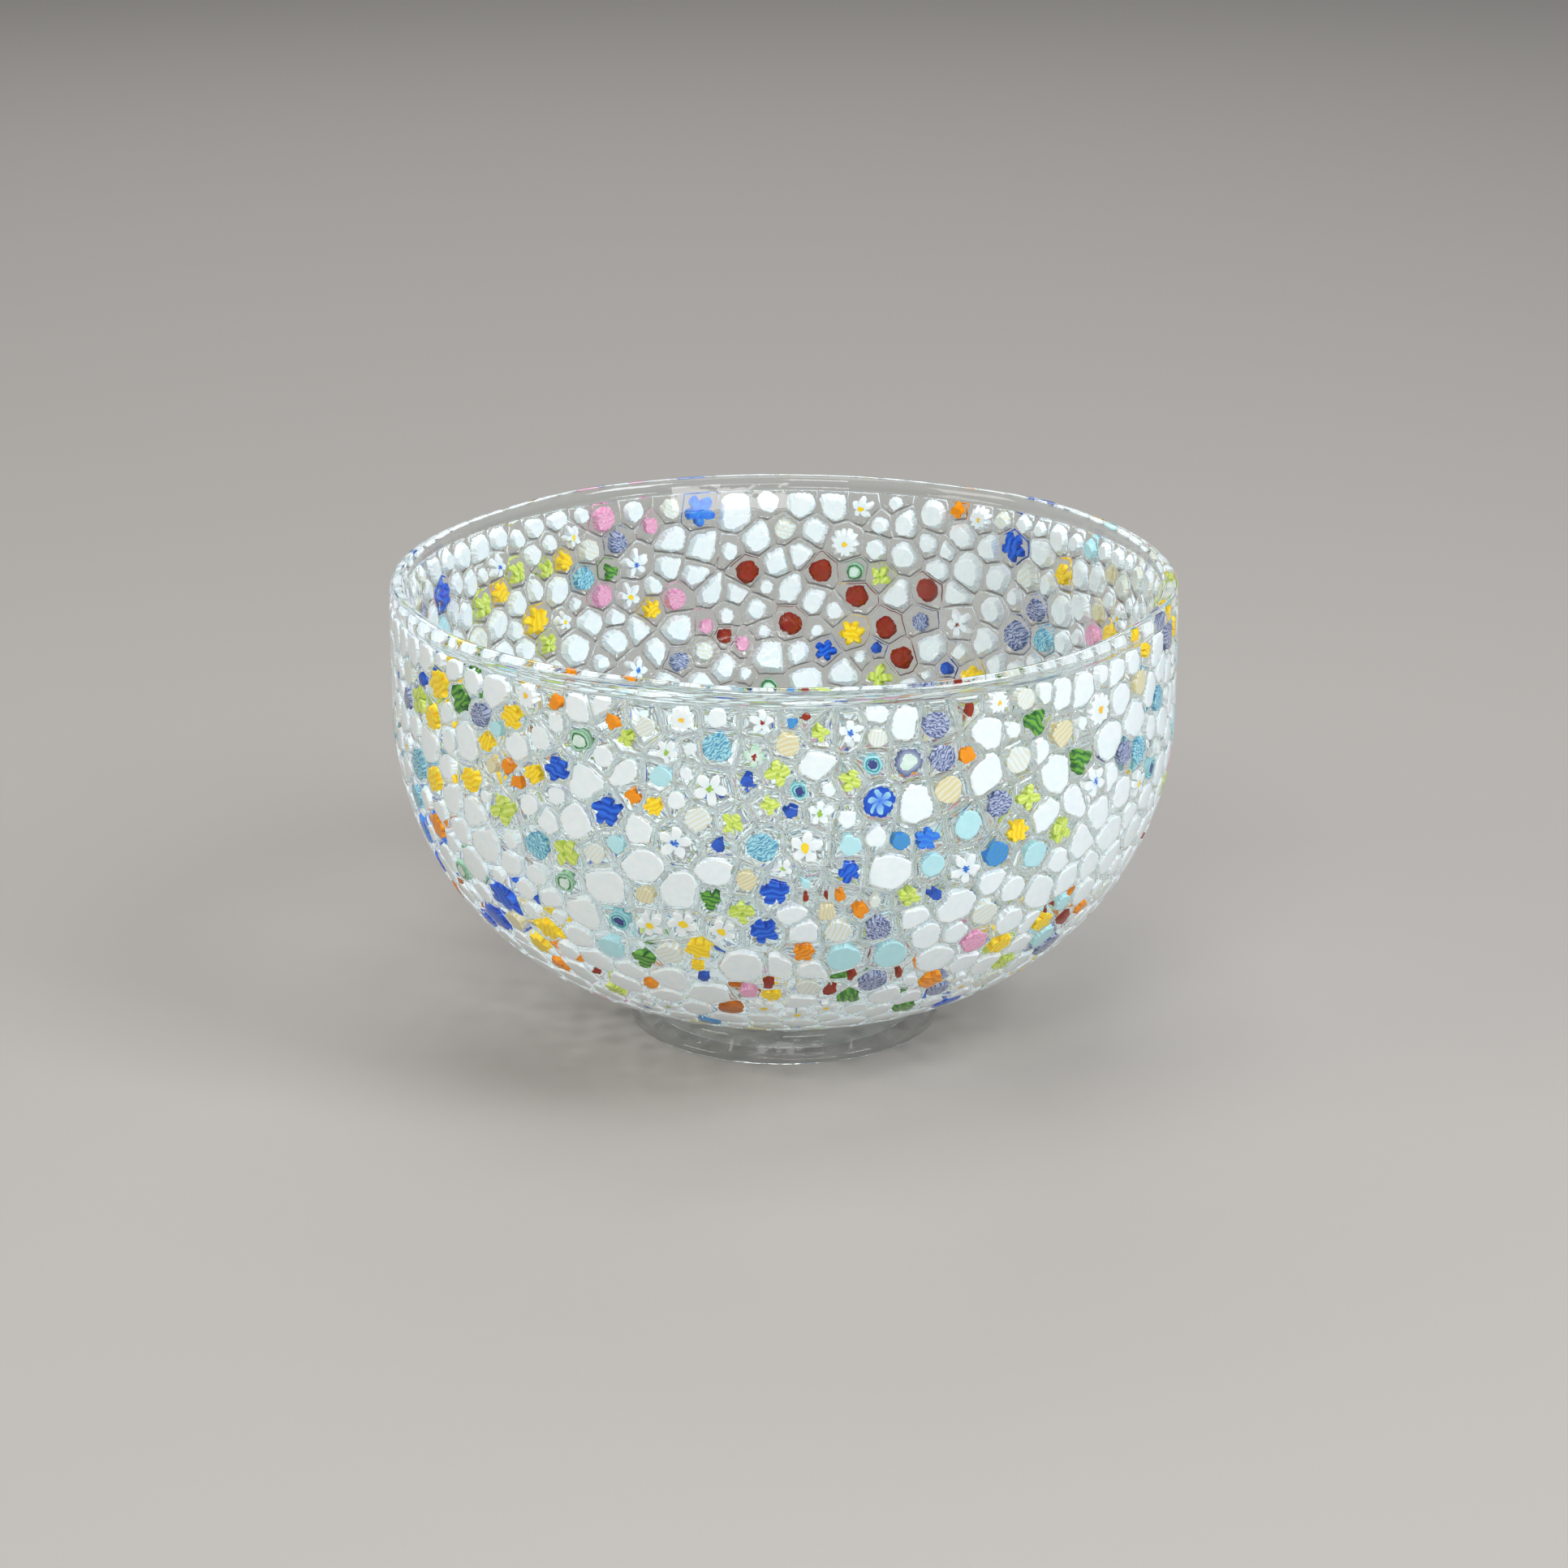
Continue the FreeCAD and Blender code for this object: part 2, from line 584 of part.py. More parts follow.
def grown(field, sites):
    """Grow or shrink each loose slice until it touches its nearest neighbour."""
    sites = list(sites)
    grid = gridded(sites)
    for i, site in enumerate(sites):
        if site.fixed:
            continue
        spread = math.hypot(site.u, site.v)
        scale = field.scale(spread)
        room = min([math.hypot(site.u - sites[j].u, site.v - sites[j].v) - sites[j].radius
                    for j in grid.near(site.u, site.v) if j != i] + [field.edge - spread])
        radius = max(LEAST_LOOSE_SHARE * size("smallest_slice") * scale,
                     min(room, size("largest_slice") * scale))
        sites[i] = site._replace(radius=radius)
    return sites


def chosen_kind(size_mm, rng):
    group = "small"
    if size_mm >= LARGE_FROM:
        group = "large"
    elif size_mm >= MIDDLING_FROM:
        group = "middling"
    kinds = COMMON[group]
    return rng.choices(list(kinds), weights=list(kinds.values()))[0]


# ---------------------------------------------------------------- making the slices


def closed_wire(corners):
    points = [Vector(x, y, 0) for x, y in corners]
    return Part.Wire([Part.LineSegment(a, b).toShape() for a, b in zip(points, points[1:] + points[:1])])


def petal_wire(petals, radius, turn):
    """Round petals with sharp notches between them."""
    step = 2 * math.pi / petals
    notch = radius * NOTCH_ROOM * math.cos(step / 2) / (1 + math.sin(step / 2))

    def at(distance, angle):
        return Vector(distance * math.cos(angle), distance * math.sin(angle), 0)

    edges = []
    for i in range(petals):
        start = turn + i * step
        arc = Part.Arc(at(notch, start), at(radius, start + step / 2), at(notch, start + step))
        edges.append(arc.toShape())
    return Part.Wire(edges)


def bar_wire(reach, turn):
    """A bar twice as long as it is wide, its corners at the given reach."""
    corner = BAR_CORNER_TURN
    angles = (turn + corner, turn + math.pi - corner, turn + math.pi + corner, turn - corner)
    return closed_wire([(reach * math.cos(a), reach * math.sin(a)) for a in angles])


def round_wire(radius):
    return Part.Wire([Part.Circle(Vector(0, 0, 0), Vector(0, 0, 1), radius).toShape()])


def shrunk(corners, distance):
    """A convex counter-clockwise outline with every side moved in by a distance."""
    inner = corners
    for (x0, y0), (x1, y1) in zip(corners, corners[1:] + corners[:1]):
        length = math.hypot(x1 - x0, y1 - y0)
        if length < TINY:
            continue
        normal = ((y1 - y0) / length, (x0 - x1) / length)
        inner = clip(inner, (x0 - normal[0] * distance, y0 - normal[1] * distance), normal)
    return inner


def tidy_corners(corners, least):
    """Drop corners that stand closer together than a least distance."""
    kept = []
    for corner in corners:
        if not kept or math.hypot(corner[0] - kept[-1][0], corner[1] - kept[-1][1]) > least:
            kept.append(corner)
    while len(kept) > 3 and math.hypot(kept[0][0] - kept[-1][0], kept[0][1] - kept[-1][1]) <= least:
        kept.pop()
    return kept


def between(outline, hole, thickness):
    """A solid as thick as a slice, with its hole cut through."""
    wires = [outline] if hole is None else [outline, hole]
    face = Part.makeFace(wires, "Part::FaceMakerBullseye")
    return face.extrude(Vector(0, 0, thickness))


# The casings' nodes, each with the share of the bowl height its slices stay under.
ZONES = [("casings_base", 0.126), ("casings_lower_belly", 0.34), ("casings_upper_belly", 0.57),
         ("casings_shoulder", 0.77), ("casings_rim_rows", math.inf)]


def zone_of(height):
    return [name for name, share in ZONES if height < share * size("bowl_height")][0]


def slice_solids(cane, corners, radius, turn):
    """The pieces of one slice: its casing, its core and its heart, as (node, solid)."""
    thickness = size("slice_thickness")
    gap = size("seam_gap")
    casing = tidy_corners(shrunk(corners, gap / 2), LEAST_CASING_SIDE)
    if cane.lobes == BLOCK:
        core_corners = tidy_corners(shrunk(casing, size("casing_wall")), LEAST_CORE_SIDE)
        if len(core_corners) < 3:
            return []
        core = closed_wire(core_corners)
    elif cane.lobes == BAR:
        core = bar_wire(radius - size("casing_wall"), turn)
    elif cane.lobes == ROUND:
        core = round_wire(radius - size("casing_wall") - gap)
    else:
        core = petal_wire(cane.lobes, radius - size("casing_wall") / 2 - gap, turn)
    heart = round_wire(cane.heart_share * radius) if cane.heart else None
    pieces = [("casing", between(closed_wire(casing), core, thickness)),
              (cane.core, between(core, heart, thickness))]
    if heart:
        pieces.append((cane.heart, between(heart, None, thickness)))
    return pieces


def all_slices():
    """Every slice's solids, gathered by node."""
    rng = random.Random(LAYOUT_SEED)
    field = SliceField()
    sites = fill_sites(field, placed_sites(field), rng)
    sites = relaxed(field, grown(field, sites), SETTLING_ROUNDS)
    grid = gridded(sites)
    nodes = {}
    for i, site in enumerate(sites):
        foot, normal = field.on_glass(site.u, site.v)
        scale = field.scale(math.hypot(site.u, site.v))
        radius = site.radius / scale
        cane = CANES[site.kind or chosen_kind(radius, rng)]
        across = Vector(-normal.y, normal.x, 0)
        across = across.normalize() if across.Length > TINY else Vector(0, -1, 0)
        along = normal.cross(across)
        corners = []
        for u, v in seam_outline(field, sites, grid, i):
            offset = field.on_glass(u, v)[0] - foot
            corners.append((offset.dot(across), offset.dot(along)))
        if len(corners) < 3:
            continue
        if signed_area(corners) < 0:
            corners.reverse()
        place = Placement(Matrix(across.x, along.x, normal.x, foot.x,
                                 across.y, along.y, normal.y, foot.y,
                                 across.z, along.z, normal.z, foot.z,
                                 0, 0, 0, 1))
        for name, solid in slice_solids(cane, corners, radius, 2 * math.pi * rng.random()):
            solid.Placement = place
            node = zone_of(foot.z) if name == "casing" else name
            nodes.setdefault(node, []).append(solid)
    print("slices:", len(sites))
    return nodes


def signed_area(corners):
    return sum(x0 * y1 - x1 * y0 for (x0, y0), (x1, y1) in zip(corners, corners[1:] + corners[:1]))


def slice_nodes():
    """One document object for each node of slices."""
    made = []
    for node, solids in sorted(all_slices().items()):
        feature = doc.addObject("Part::Feature", node)
        feature.Label = node
        feature.Shape = Part.makeCompound(solids)
        feature.Placement = Placement()
        made.append(feature)
    return made


# ---------------------------------------------------------------- build, check and write

subparts = [clear_lining(), rim_trail(), clear_foot()] + slice_nodes()
doc.recompute()

for item in doc.Objects:
    if "Invalid" in item.State or "Error" in item.State:
        raise RuntimeError(f"{item.Label}: {item.State}")

os.makedirs("parts", exist_ok=True)
for subpart in subparts:
    shape = subpart.Shape
    if shape.isNull() or not shape.isValid():
        raise RuntimeError(f"{subpart.Label}: the shape is not valid")
for subpart in subparts:
    subpart.Shape.exportStep(f"parts/{subpart.Label}.step")
    print(f"{subpart.Label}: {len(subpart.Shape.Solids)} solids, {subpart.Shape.Volume:.1f} mm3")
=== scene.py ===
"""Art glass bowl of fused cane slices: the looks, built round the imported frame.

One watertight body of clear glass stands for the lining, the rim trail and all the slice
casings.  The coloured cores and hearts stand inside it, one piece for each kind of cane.
Lengths are in metres; the bowl stands on z = 0 and its front is -Y.
"""

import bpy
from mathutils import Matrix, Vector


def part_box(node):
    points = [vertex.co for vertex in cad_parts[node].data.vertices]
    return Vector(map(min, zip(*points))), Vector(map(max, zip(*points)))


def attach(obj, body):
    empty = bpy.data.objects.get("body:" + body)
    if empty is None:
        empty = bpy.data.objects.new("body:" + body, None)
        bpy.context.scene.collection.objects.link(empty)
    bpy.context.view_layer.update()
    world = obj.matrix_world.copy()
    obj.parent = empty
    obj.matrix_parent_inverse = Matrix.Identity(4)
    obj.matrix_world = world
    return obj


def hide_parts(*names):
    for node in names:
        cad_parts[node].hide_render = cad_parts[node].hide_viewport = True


bl_info = {
    "name": "Art Glass Bowl",
    "version": (1, 0, 0),
    "blender": (4, 5, 0),
    "location": "View3D > Sidebar > Glass Bowl",
    "description": "Builds a clear glass bowl covered with fused cane slices",
    "category": "Add Mesh",
}

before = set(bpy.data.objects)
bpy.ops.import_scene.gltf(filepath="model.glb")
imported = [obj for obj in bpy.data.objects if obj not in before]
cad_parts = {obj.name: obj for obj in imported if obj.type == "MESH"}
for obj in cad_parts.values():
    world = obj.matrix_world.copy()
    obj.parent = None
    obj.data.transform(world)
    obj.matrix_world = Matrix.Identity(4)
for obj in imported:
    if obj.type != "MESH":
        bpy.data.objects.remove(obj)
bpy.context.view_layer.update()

import math
import random
from collections import defaultdict, namedtuple

import bmesh
import bpy
from bpy.props import FloatProperty, FloatVectorProperty, IntProperty, PointerProperty
from mathutils import Matrix, Vector, noise

MM = 0.001
BODY = "root"


def linear(hex_colour):
    """An sRGB hex colour as linear red, green and blue."""
    channels = [int(hex_colour[i:i + 2], 16) / 255 for i in (0, 2, 4)]
    return tuple(c / 12.92 if c <= 0.04045 else ((c + 0.055) / 1.055) ** 2.4 for c in channels)


# ---------------------------------------------------------------- sizes from the frame

rim_low, rim_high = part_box("rim_trail")
lining_low, lining_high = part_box("clear_lining")
foot_low, foot_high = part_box("clear_foot")

HEIGHT = rim_high.z
OUTER_RADIUS = rim_high.x
RIM_BOTTOM = rim_low.z
LINING_TOP = lining_high.z
LINING_BASE = lining_low.z
SLICE_THICKNESS = OUTER_RADIUS - lining_high.x
BASE_RADIUS = 12 * MM
WALL_THICKNESS = 3 * MM
RIM_THICKNESS = 1.9 * MM
THINNING = 9 * MM
LINING_RADIUS = lining_high.x
BELLY_ARC = LINING_RADIUS - BASE_RADIUS
SHOULDER = LINING_BASE + BELLY_ARC
FOOT_RADIUS = foot_high.x


def on_lining(point):
    """The nearest point on the lining's outer face, and the outward normal there."""
    flat = Vector((point.x, point.y, 0))
    radius = flat.length
    if radius < 1e-9 or (radius <= BASE_RADIUS and point.z < SHOULDER):
        return Vector((point.x, point.y, LINING_BASE)), Vector((0, 0, -1))
    away = flat / radius
    if point.z >= SHOULDER:
        return away * LINING_RADIUS + Vector((0, 0, point.z)), away
    centre = away * BASE_RADIUS + Vector((0, 0, SHOULDER))
    normal = (point - centre).normalized()
    return centre + normal * BELLY_ARC, normal


def lifted(point, offset):
    foot, normal = on_lining(point)
    return foot + normal * offset


# ---------------------------------------------------------------- settings

def colour(name, description, hex_colour):
    return FloatVectorProperty(name=name, description=description, subtype="COLOR", size=3,
                               min=0, max=1, default=linear(hex_colour))


def length(name, description, millimetres):
    return FloatProperty(name=name, description=description, subtype="DISTANCE", unit="LENGTH",
                         precision=5, default=millimetres * MM)


class BowlShape(bpy.types.PropertyGroup):
    seam_depth: length("Seam depth", "Depth of the grooves between slices", 0.24)
    seam_width: length("Seam width", "Distance from a seam to the top of its slice", 0.40)
    dome: length("Dome", "How far the middle of a slice stands proud", 0.15)
    seam_wander: length("Seam wander", "How far a seam strays from a straight line", 0.10)
    rim_wave: length("Rim wave", "Height of the slow waves of the rim", 0.28)
    core_cover: length("Core cover", "Clear glass over the cores", 0.07)
    core_sink: length("Core sink", "How far the cores reach into the lining", 0.30)
    core_wander: length("Core wander", "How far a core's outline strays", 0.6)
    core_fray: length("Core fray", "Depth of the fine teeth on a core's outline", 0.42)
    core_taper: FloatProperty(name="Core taper", description="Width of a core's inner end "
                              "against its outer end", min=0.4, max=1, default=0.72)
    circle_points: IntProperty(name="Circle points", description="Corners round a slice",
                               min=12, max=64, default=48)


class BowlColours(bpy.types.PropertyGroup):
    opal: colour("Opal white", "Opal white canes", "F1F5F5")
    opal_shade: colour("Opal shade", "Clouds in the opal white", "DDE9EC")
    yellow: colour("Yellow", "Yellow blossoms", "FBE03A")
    yellow_deep: colour("Deep yellow", "Threads in the yellow", "F3C512")
    orange: colour("Orange", "Orange dots and hearts", "F5A01E")
    orange_deep: colour("Deep orange", "Threads in the orange", "E07C0C")
    cobalt: colour("Cobalt", "Cobalt blossoms", "0A46B8")
    cobalt_pale: colour("Pale cobalt", "Threads in the cobalt", "2E6FE0")
    mid_blue: colour("Mid blue", "Mid-blue discs and blossoms", "3C8BDC")
    aqua: colour("Aqua", "Aqua discs", "A6D9E0")
    aqua_pale: colour("Pale aqua", "Clouds in the aqua", "C0E6EA")
    teal: colour("Teal", "Teal discs and eyes", "1E8C94")
    teal_pale: colour("Pale teal", "Ribs of the teal discs", "4C93B8")
    navy: colour("Navy", "Navy discs and rings", "4A5788")
    navy_pale: colour("Pale navy", "Threads in the navy", "B4BDD3")
    ivory: colour("Ivory", "Ivory discs", "DDDBC6")
    beige: colour("Beige", "Beige discs", "D9CC96")
    lime_deep: colour("Deep lime", "Threads in the lime", "BDD254")
    lime: colour("Lime", "Lime blossoms", "DAE882")
    pale_green: colour("Pale green", "Pale green petals and hearts", "A9D3B6")
    leaf_green: colour("Leaf green", "Green hearts", "6FAE3E")
    dark_green: colour("Dark green", "Dark green rings and clovers", "2F6A3A")
    pink: colour("Pink", "Pink discs", "DE8FB6")
    pink_pale: colour("Pale pink", "Threads in the pink", "EBB7CE")
    dark_red: colour("Dark red", "Dark red bars", "9E1B1B")
    brown: colour("Brown", "Brown discs and hearts", "7A3A10")
    indigo: colour("Indigo", "Indigo dots", "2A2F7A")
    clear: colour("Clear glass", "Tint of the clear glass", "F6FBFA")
    floor: colour("Floor", "Studio floor", "A9A49E")


# ---------------------------------------------------------------- reading the CAD slices

Slice = namedtuple("Slice", "centre normal across radius turn outline")


def islands(node):
    """The separate solids of one CAD node, each a list of merged vertices with its faces."""
    mesh = bmesh.new()
    mesh.from_mesh(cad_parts[node].data)
    bmesh.ops.remove_doubles(mesh, verts=mesh.verts, dist=0.0002 * MM)
    seen = set()
    found = []
    for start in mesh.verts:
        if start.index in seen or not start.link_faces:
            continue
        seen.add(start.index)
        stack = [start]
        group = []
        while stack:
            vertex = stack.pop()
            group.append(vertex)
            for edge in vertex.link_edges:
                other = edge.other_vert(vertex)
                if other.index not in seen:
                    seen.add(other.index)
                    stack.append(other)
        faces = {face for vertex in group for face in vertex.link_faces}
        points = [vertex.co.copy() for vertex in group]
        found.append((points, [(face.normal.copy(), face.calc_area()) for face in faces]))
    mesh.free()
    return found


def slice_axes(points, faces):
    """A solid's outward normal and a level direction across it."""
    middle = sum(points, Vector()) / len(points)
    guess = on_lining(middle)[1]
    normal = Vector()
    for face_normal, area in faces:
        if face_normal.dot(guess) > 0.97:
            normal += face_normal * area
    normal.normalize()
    across = Vector((-normal.y, normal.x, 0))
    if across.length < 1e-6:
        across = Vector((0, -1, 0))
    return normal, across.normalized()


def flat_outline(points, normal, across, lower):
    """The corners of a solid's lower or upper end, as 2-D places across and along it."""
    along = normal.cross(across)
    heights = [point.dot(normal) for point in points]
    middle = (max(heights) + min(heights)) / 2
    end = [p for p, height in zip(points, heights) if (height < middle) == lower]
    origin = sum(end, Vector()) / len(end)
    places = [((p - origin).dot(across), (p - origin).dot(along)) for p in end]
    return origin, along, places


def hull(places):
    """The convex outline of some 2-D places, counter-clockwise."""
    ordered = sorted(set(places))

    def half(run):
        kept = []
        for p in run:
            while len(kept) > 1:
                (x0, y0), (x1, y1) = kept[-2], kept[-1]
                if (x1 - x0) * (p[1] - y0) - (y1 - y0) * (p[0] - x0) > 1e-13:
                    break
                kept.pop()
            kept.append(p)
        return kept

    return half(ordered)[:-1] + half(reversed(ordered))[:-1]


def cad_slices(node):
    """Where the slices of one node are, read from its solids."""
    found = []
    for points, faces in islands(node):
        normal, across = slice_axes(points, faces)
        origin, _, places = flat_outline(points, normal, across, True)
        reaches = [math.hypot(x, y) for x, y in places]
        radius = max(reaches)
        tip = places[reaches.index(radius)]
        found.append(Slice(origin, normal, across, radius, math.atan2(tip[1], tip[0]),
                           hull(places)))
    return found


# ---------------------------------------------------------------- mesh helpers

def new_piece(name, mesh, material, nodes):
    """Link a finished mesh, finish it with a material and bind it to the frame."""
    piece = bpy.data.objects.new(name, mesh)
    bpy.context.scene.collection.objects.link(piece)
    if material is not None and not mesh.materials:
        mesh.materials.append(material)
    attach(piece, BODY)
    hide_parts(*nodes)
    return piece


def mesh_from(name, vertices, faces, smooth=True):
    mesh = bpy.data.meshes.new(name)
    mesh.from_pydata(vertices, [], faces)
    mesh.polygons.foreach_set("use_smooth", [smooth] * len(mesh.polygons))
    mesh.update()
    return mesh


# ---------------------------------------------------------------- the clear glass body

CASINGS = sorted(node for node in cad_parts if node.startswith("casings_"))
WELD = 0.14 * MM


def weld_groups(corners):
    """Give corners closer together than the weld distance one common number."""
    parent = list(range(len(corners)))

    def root(i):
        while parent[i] != i:
            parent[i] = parent[parent[i]]
            i = parent[i]
        return i

    cells = defaultdict(list)
    for i, corner in enumerate(corners):
        key = tuple(math.floor(c / WELD) for c in corner)
        for dx in (-1, 0, 1):
            for dy in (-1, 0, 1):
                for dz in (-1, 0, 1):
                    for j in cells.get((key[0] + dx, key[1] + dy, key[2] + dz), ()):
                        if (corners[j] - corner).length < WELD:
                            parent[root(i)] = root(j)
        cells[key].append(i)
    groups = defaultdict(list)
    for i in range(len(corners)):
        groups[root(i)].append(i)
    return list(groups.values())


def seam_network():
    """The seams between casings: shared corners on the lining, and one outline per casing."""
    corners = []
    outlines = []
    for node in CASINGS:
        for points, faces in islands(node):
            normal, across = slice_axes(points, faces)
            origin, along, places = flat_outline(points, normal, across, True)
            outline = []
            for x, y in hull(places):
                outline.append(len(corners))
                corners.append(origin + across * x + along * y)
            outlines.append(outline)
    number = {}
    shared = []
    for group in weld_groups(corners):
        middle = sum((corners[i] for i in group), Vector()) / len(group)
        for i in group:
            number[i] = len(shared)
        shared.append(on_lining(middle)[0])
    cells = []
    for outline in outlines:
        numbers = [number[i] for i in outline]
        loop = [n for i, n in enumerate(numbers) if n != numbers[i - 1]]
        if len(loop) >= 3 and len(set(loop)) == len(loop):
            cells.append(loop)
    return shared, cells


def close_small_gaps(shared, cells):
    """Fill the slivers left where a casing has no corner at its neighbours' corner."""
    mesh = bmesh.new()
    vertices = [mesh.verts.new(point) for point in shared]
    for cell in cells:
        try:
            mesh.faces.new([vertices[i] for i in cell])
        except ValueError:
            continue
    mesh.verts.index_update()
    top = LINING_TOP - 0.6 * MM
    gaps = [e for e in mesh.edges
            if e.is_boundary and not (e.verts[0].co.z > top and e.verts[1].co.z > top)]
    bmesh.ops.holes_fill(mesh, edges=gaps, sides=12)
    for vertex in [v for v in mesh.verts if v.is_boundary and v.co.z < top]:
        ends = [e.other_vert(vertex) for e in vertex.link_edges if e.is_boundary]
        if len(ends) == 2:
            mesh.faces.new((vertex, *ends))
    bmesh.ops.recalc_face_normals(mesh, faces=mesh.faces)
    outward = sum(f.normal.dot(on_lining(f.calc_center_median())[1]) for f in mesh.faces)
    if outward < 0:
        bmesh.ops.reverse_faces(mesh, faces=mesh.faces)
    loops = [[v.index for v in face.verts] for face in mesh.faces]
    rim_edges = [(e.verts[0].index, e.verts[1].index) for e in mesh.edges if e.is_boundary]
    mesh.free()
    return loops, rim_edges


class GlassBody:
    """Collects the vertices and faces of the clear body."""

    def __init__(self, shape):
        self.shape = shape
        self.vertices = []
        self.faces = []
        self.rng = random.Random(11)
        self.parts = {}

    def add(self, point):
        self.vertices.append(point)
        return len(self.vertices) - 1

    def seam_points(self, shared, corner_ids, a, b):
        """The vertices along one seam from corner a to corner b, straying a little sideways."""
        key = (min(a, b), max(a, b))
        if key not in self.parts:
            first, last = shared[key[0]], shared[key[1]]
            steps = max(1, round((last - first).length / (0.85 * MM)))
            rim = min(first.z, last.z) > LINING_TOP - 0.6 * MM
            run = []
            for i in range(1, steps):
                point = first.lerp(last, i / steps)
                side = (last - first).cross(on_lining(point)[1]).normalized()
                stray = 0 if rim else self.rng.uniform(-1, 1) * self.shape.seam_wander
                place = point + side * stray
                run.append(self.add(lifted(place, SLICE_THICKNESS - self.shape.seam_depth)))
            self.parts[key] = run
        run = self.parts[key]
        return [corner_ids[a]] + (run if a == key[0] else run[::-1])

    def add_cell(self, loop):
        """One slice's clear cap: a groove at the seam, a rounded shoulder and a low dome."""
        shape = self.shape
        outline = [self.vertices[i] for i in loop]
        middle = sum(outline, Vector()) / len(outline)
        reach = min((p - middle).length for p in outline)
        top = SLICE_THICKNESS
        rings = [(0.35 * shape.seam_width, top - 0.35 * shape.seam_depth),
                 (shape.seam_width, top + 0.25 * shape.dome)]
        if reach > 1.1 * MM:
            rings.append((0.5 * reach, top + 0.8 * shape.dome))
        if reach < 2.2 * shape.seam_width:
            rings = [(0.3 * reach, top - 0.5 * shape.seam_depth)]
        previous = loop
        for inset, offset in rings:
            ring = []
            for point in outline:
                away = point - middle
                share = max(0.15, 1 - inset / away.length)
                ring.append(self.add(lifted(middle + away * share, offset)))
            for i in range(len(loop)):
                self.faces.append((previous[i - 1], previous[i], ring[i], ring[i - 1]))
            previous = ring
        crown = self.add(lifted(middle, top + (shape.dome if reach > 0.8 * MM else 0)))
        for i in range(len(loop)):
            self.faces.append((previous[i - 1], previous[i], crown))


def rim_lift(azimuth, shape):
    """Slow hand-made waves of the rim."""
    waves = ((2, 0.5, 0.3), (3, 0.35, 1.9), (5, 0.3, 4.1), (9, 0.22, 0.8), (14, 0.12, 2.6))
    return shape.rim_wave * sum(share * math.sin(n * azimuth + start) for n, share, start in waves)


def inner_profile(steps_wall, steps_belly, steps_base):
    """Radius and height down the inside of the lining, from the rim to the middle."""
    radius = OUTER_RADIUS - WALL_THICKNESS
    arc = radius - BASE_RADIUS
    top = HEIGHT - RIM_THICKNESS / 2
    places = []
    for i in range(steps_wall):
        height = top + (SHOULDER - top) * i / steps_wall
        thin = max(0, 1 - (top - height) / THINNING) ** 2
        places.append((radius + (WALL_THICKNESS - RIM_THICKNESS) * thin, height))
    for i in range(steps_belly):
        angle = math.pi / 2 * i / steps_belly
        places.append((BASE_RADIUS + arc * math.cos(angle), SHOULDER - arc * math.sin(angle)))
    floor_height = SHOULDER - arc
    places += [(BASE_RADIUS * (1 - i / steps_base), floor_height) for i in range(steps_base)]
    return places


def rim_walk(rim_edges, shared):
    """The corners along the top of the slices in order, counter-clockwise from above."""
    beside = defaultdict(list)
    for a, b in rim_edges:
        beside[a].append(b)
        beside[b].append(a)
    walk = [rim_edges[0][0], rim_edges[0][1]]
    while True:
        onward = [n for n in beside[walk[-1]] if n != walk[-2]]
        if not onward or onward[0] == walk[0]:
            break
        walk.append(onward[0])
    if len(walk) != len(rim_edges):
        raise RuntimeError(f"the top of the slices is {len(walk)} of {len(rim_edges)} seams long")
    area = sum(shared[a].x * shared[b].y - shared[b].x * shared[a].y
               for a, b in zip(walk, walk[1:] + walk[:1]))
    return walk if area > 0 else walk[::-1]


def clear_body_mesh(shape):
    """The whole clear wall: capped slices outside, a rounded rim and a smooth inside."""
    shared, cells = seam_network()
    loops, rim_edges = close_small_gaps(shared, cells)
    body = GlassBody(shape)
    depth = SLICE_THICKNESS - shape.seam_depth
    corner_ids = [body.add(lifted(point, depth)) for point in shared]
    for loop in loops:
        outline = []
        for a, b in zip(loop, loop[1:] + loop[:1]):
            outline += body.seam_points(shared, corner_ids, a, b)
        body.add_cell(outline)
    edge = []
    walk = rim_walk(rim_edges, shared)
    for a, b in zip(walk, walk[1:] + walk[:1]):
        edge += body.seam_points(shared, corner_ids, a, b)
    azimuths = [math.atan2(body.vertices[i].y, body.vertices[i].x) for i in edge]
    first = azimuths.index(min(azimuths))
    edge = edge[first:] + edge[:first]
    azimuths.sort()
    half = RIM_THICKNESS / 2
    places = [(OUTER_RADIUS - 0.06 * MM, RIM_BOTTOM + 0.25 * MM),
              (OUTER_RADIUS, HEIGHT - half - 0.2 * MM)]
    for i in range(9):
        angle = math.pi * i / 9
        places.append((OUTER_RADIUS - half + half * math.cos(angle),
                       HEIGHT - half + half * math.sin(angle)))
    places += inner_profile(8, 16, 4)
    wave_foot = HEIGHT - 7 * MM
    previous = edge
    for radius, height in places:
        ring = []
        for azimuth in azimuths:
            share = min(1, max(0, (height - wave_foot) / (HEIGHT - wave_foot)))
            rise = rim_lift(azimuth, shape) * share ** 2
            ripple = 0.05 * MM * noise.noise(Vector((3 * math.cos(azimuth), 3 * math.sin(azimuth),
                                                     height / (9 * MM))))
            r = radius + ripple
            ring.append(body.add(Vector((r * math.cos(azimuth), r * math.sin(azimuth),
                                         height + rise))))
        for i in range(len(ring)):
            body.faces.append((previous[i - 1], previous[i], ring[i], ring[i - 1]))
        previous = ring
    pole = body.add(Vector((0, 0, SHOULDER - (OUTER_RADIUS - WALL_THICKNESS - BASE_RADIUS))))
    for i in range(len(previous)):
        body.faces.append((previous[i - 1], previous[i], pole))
    mesh = mesh_from("clear_glass_wall", body.vertices, body.faces)
    finish_closed(mesh)
    return mesh


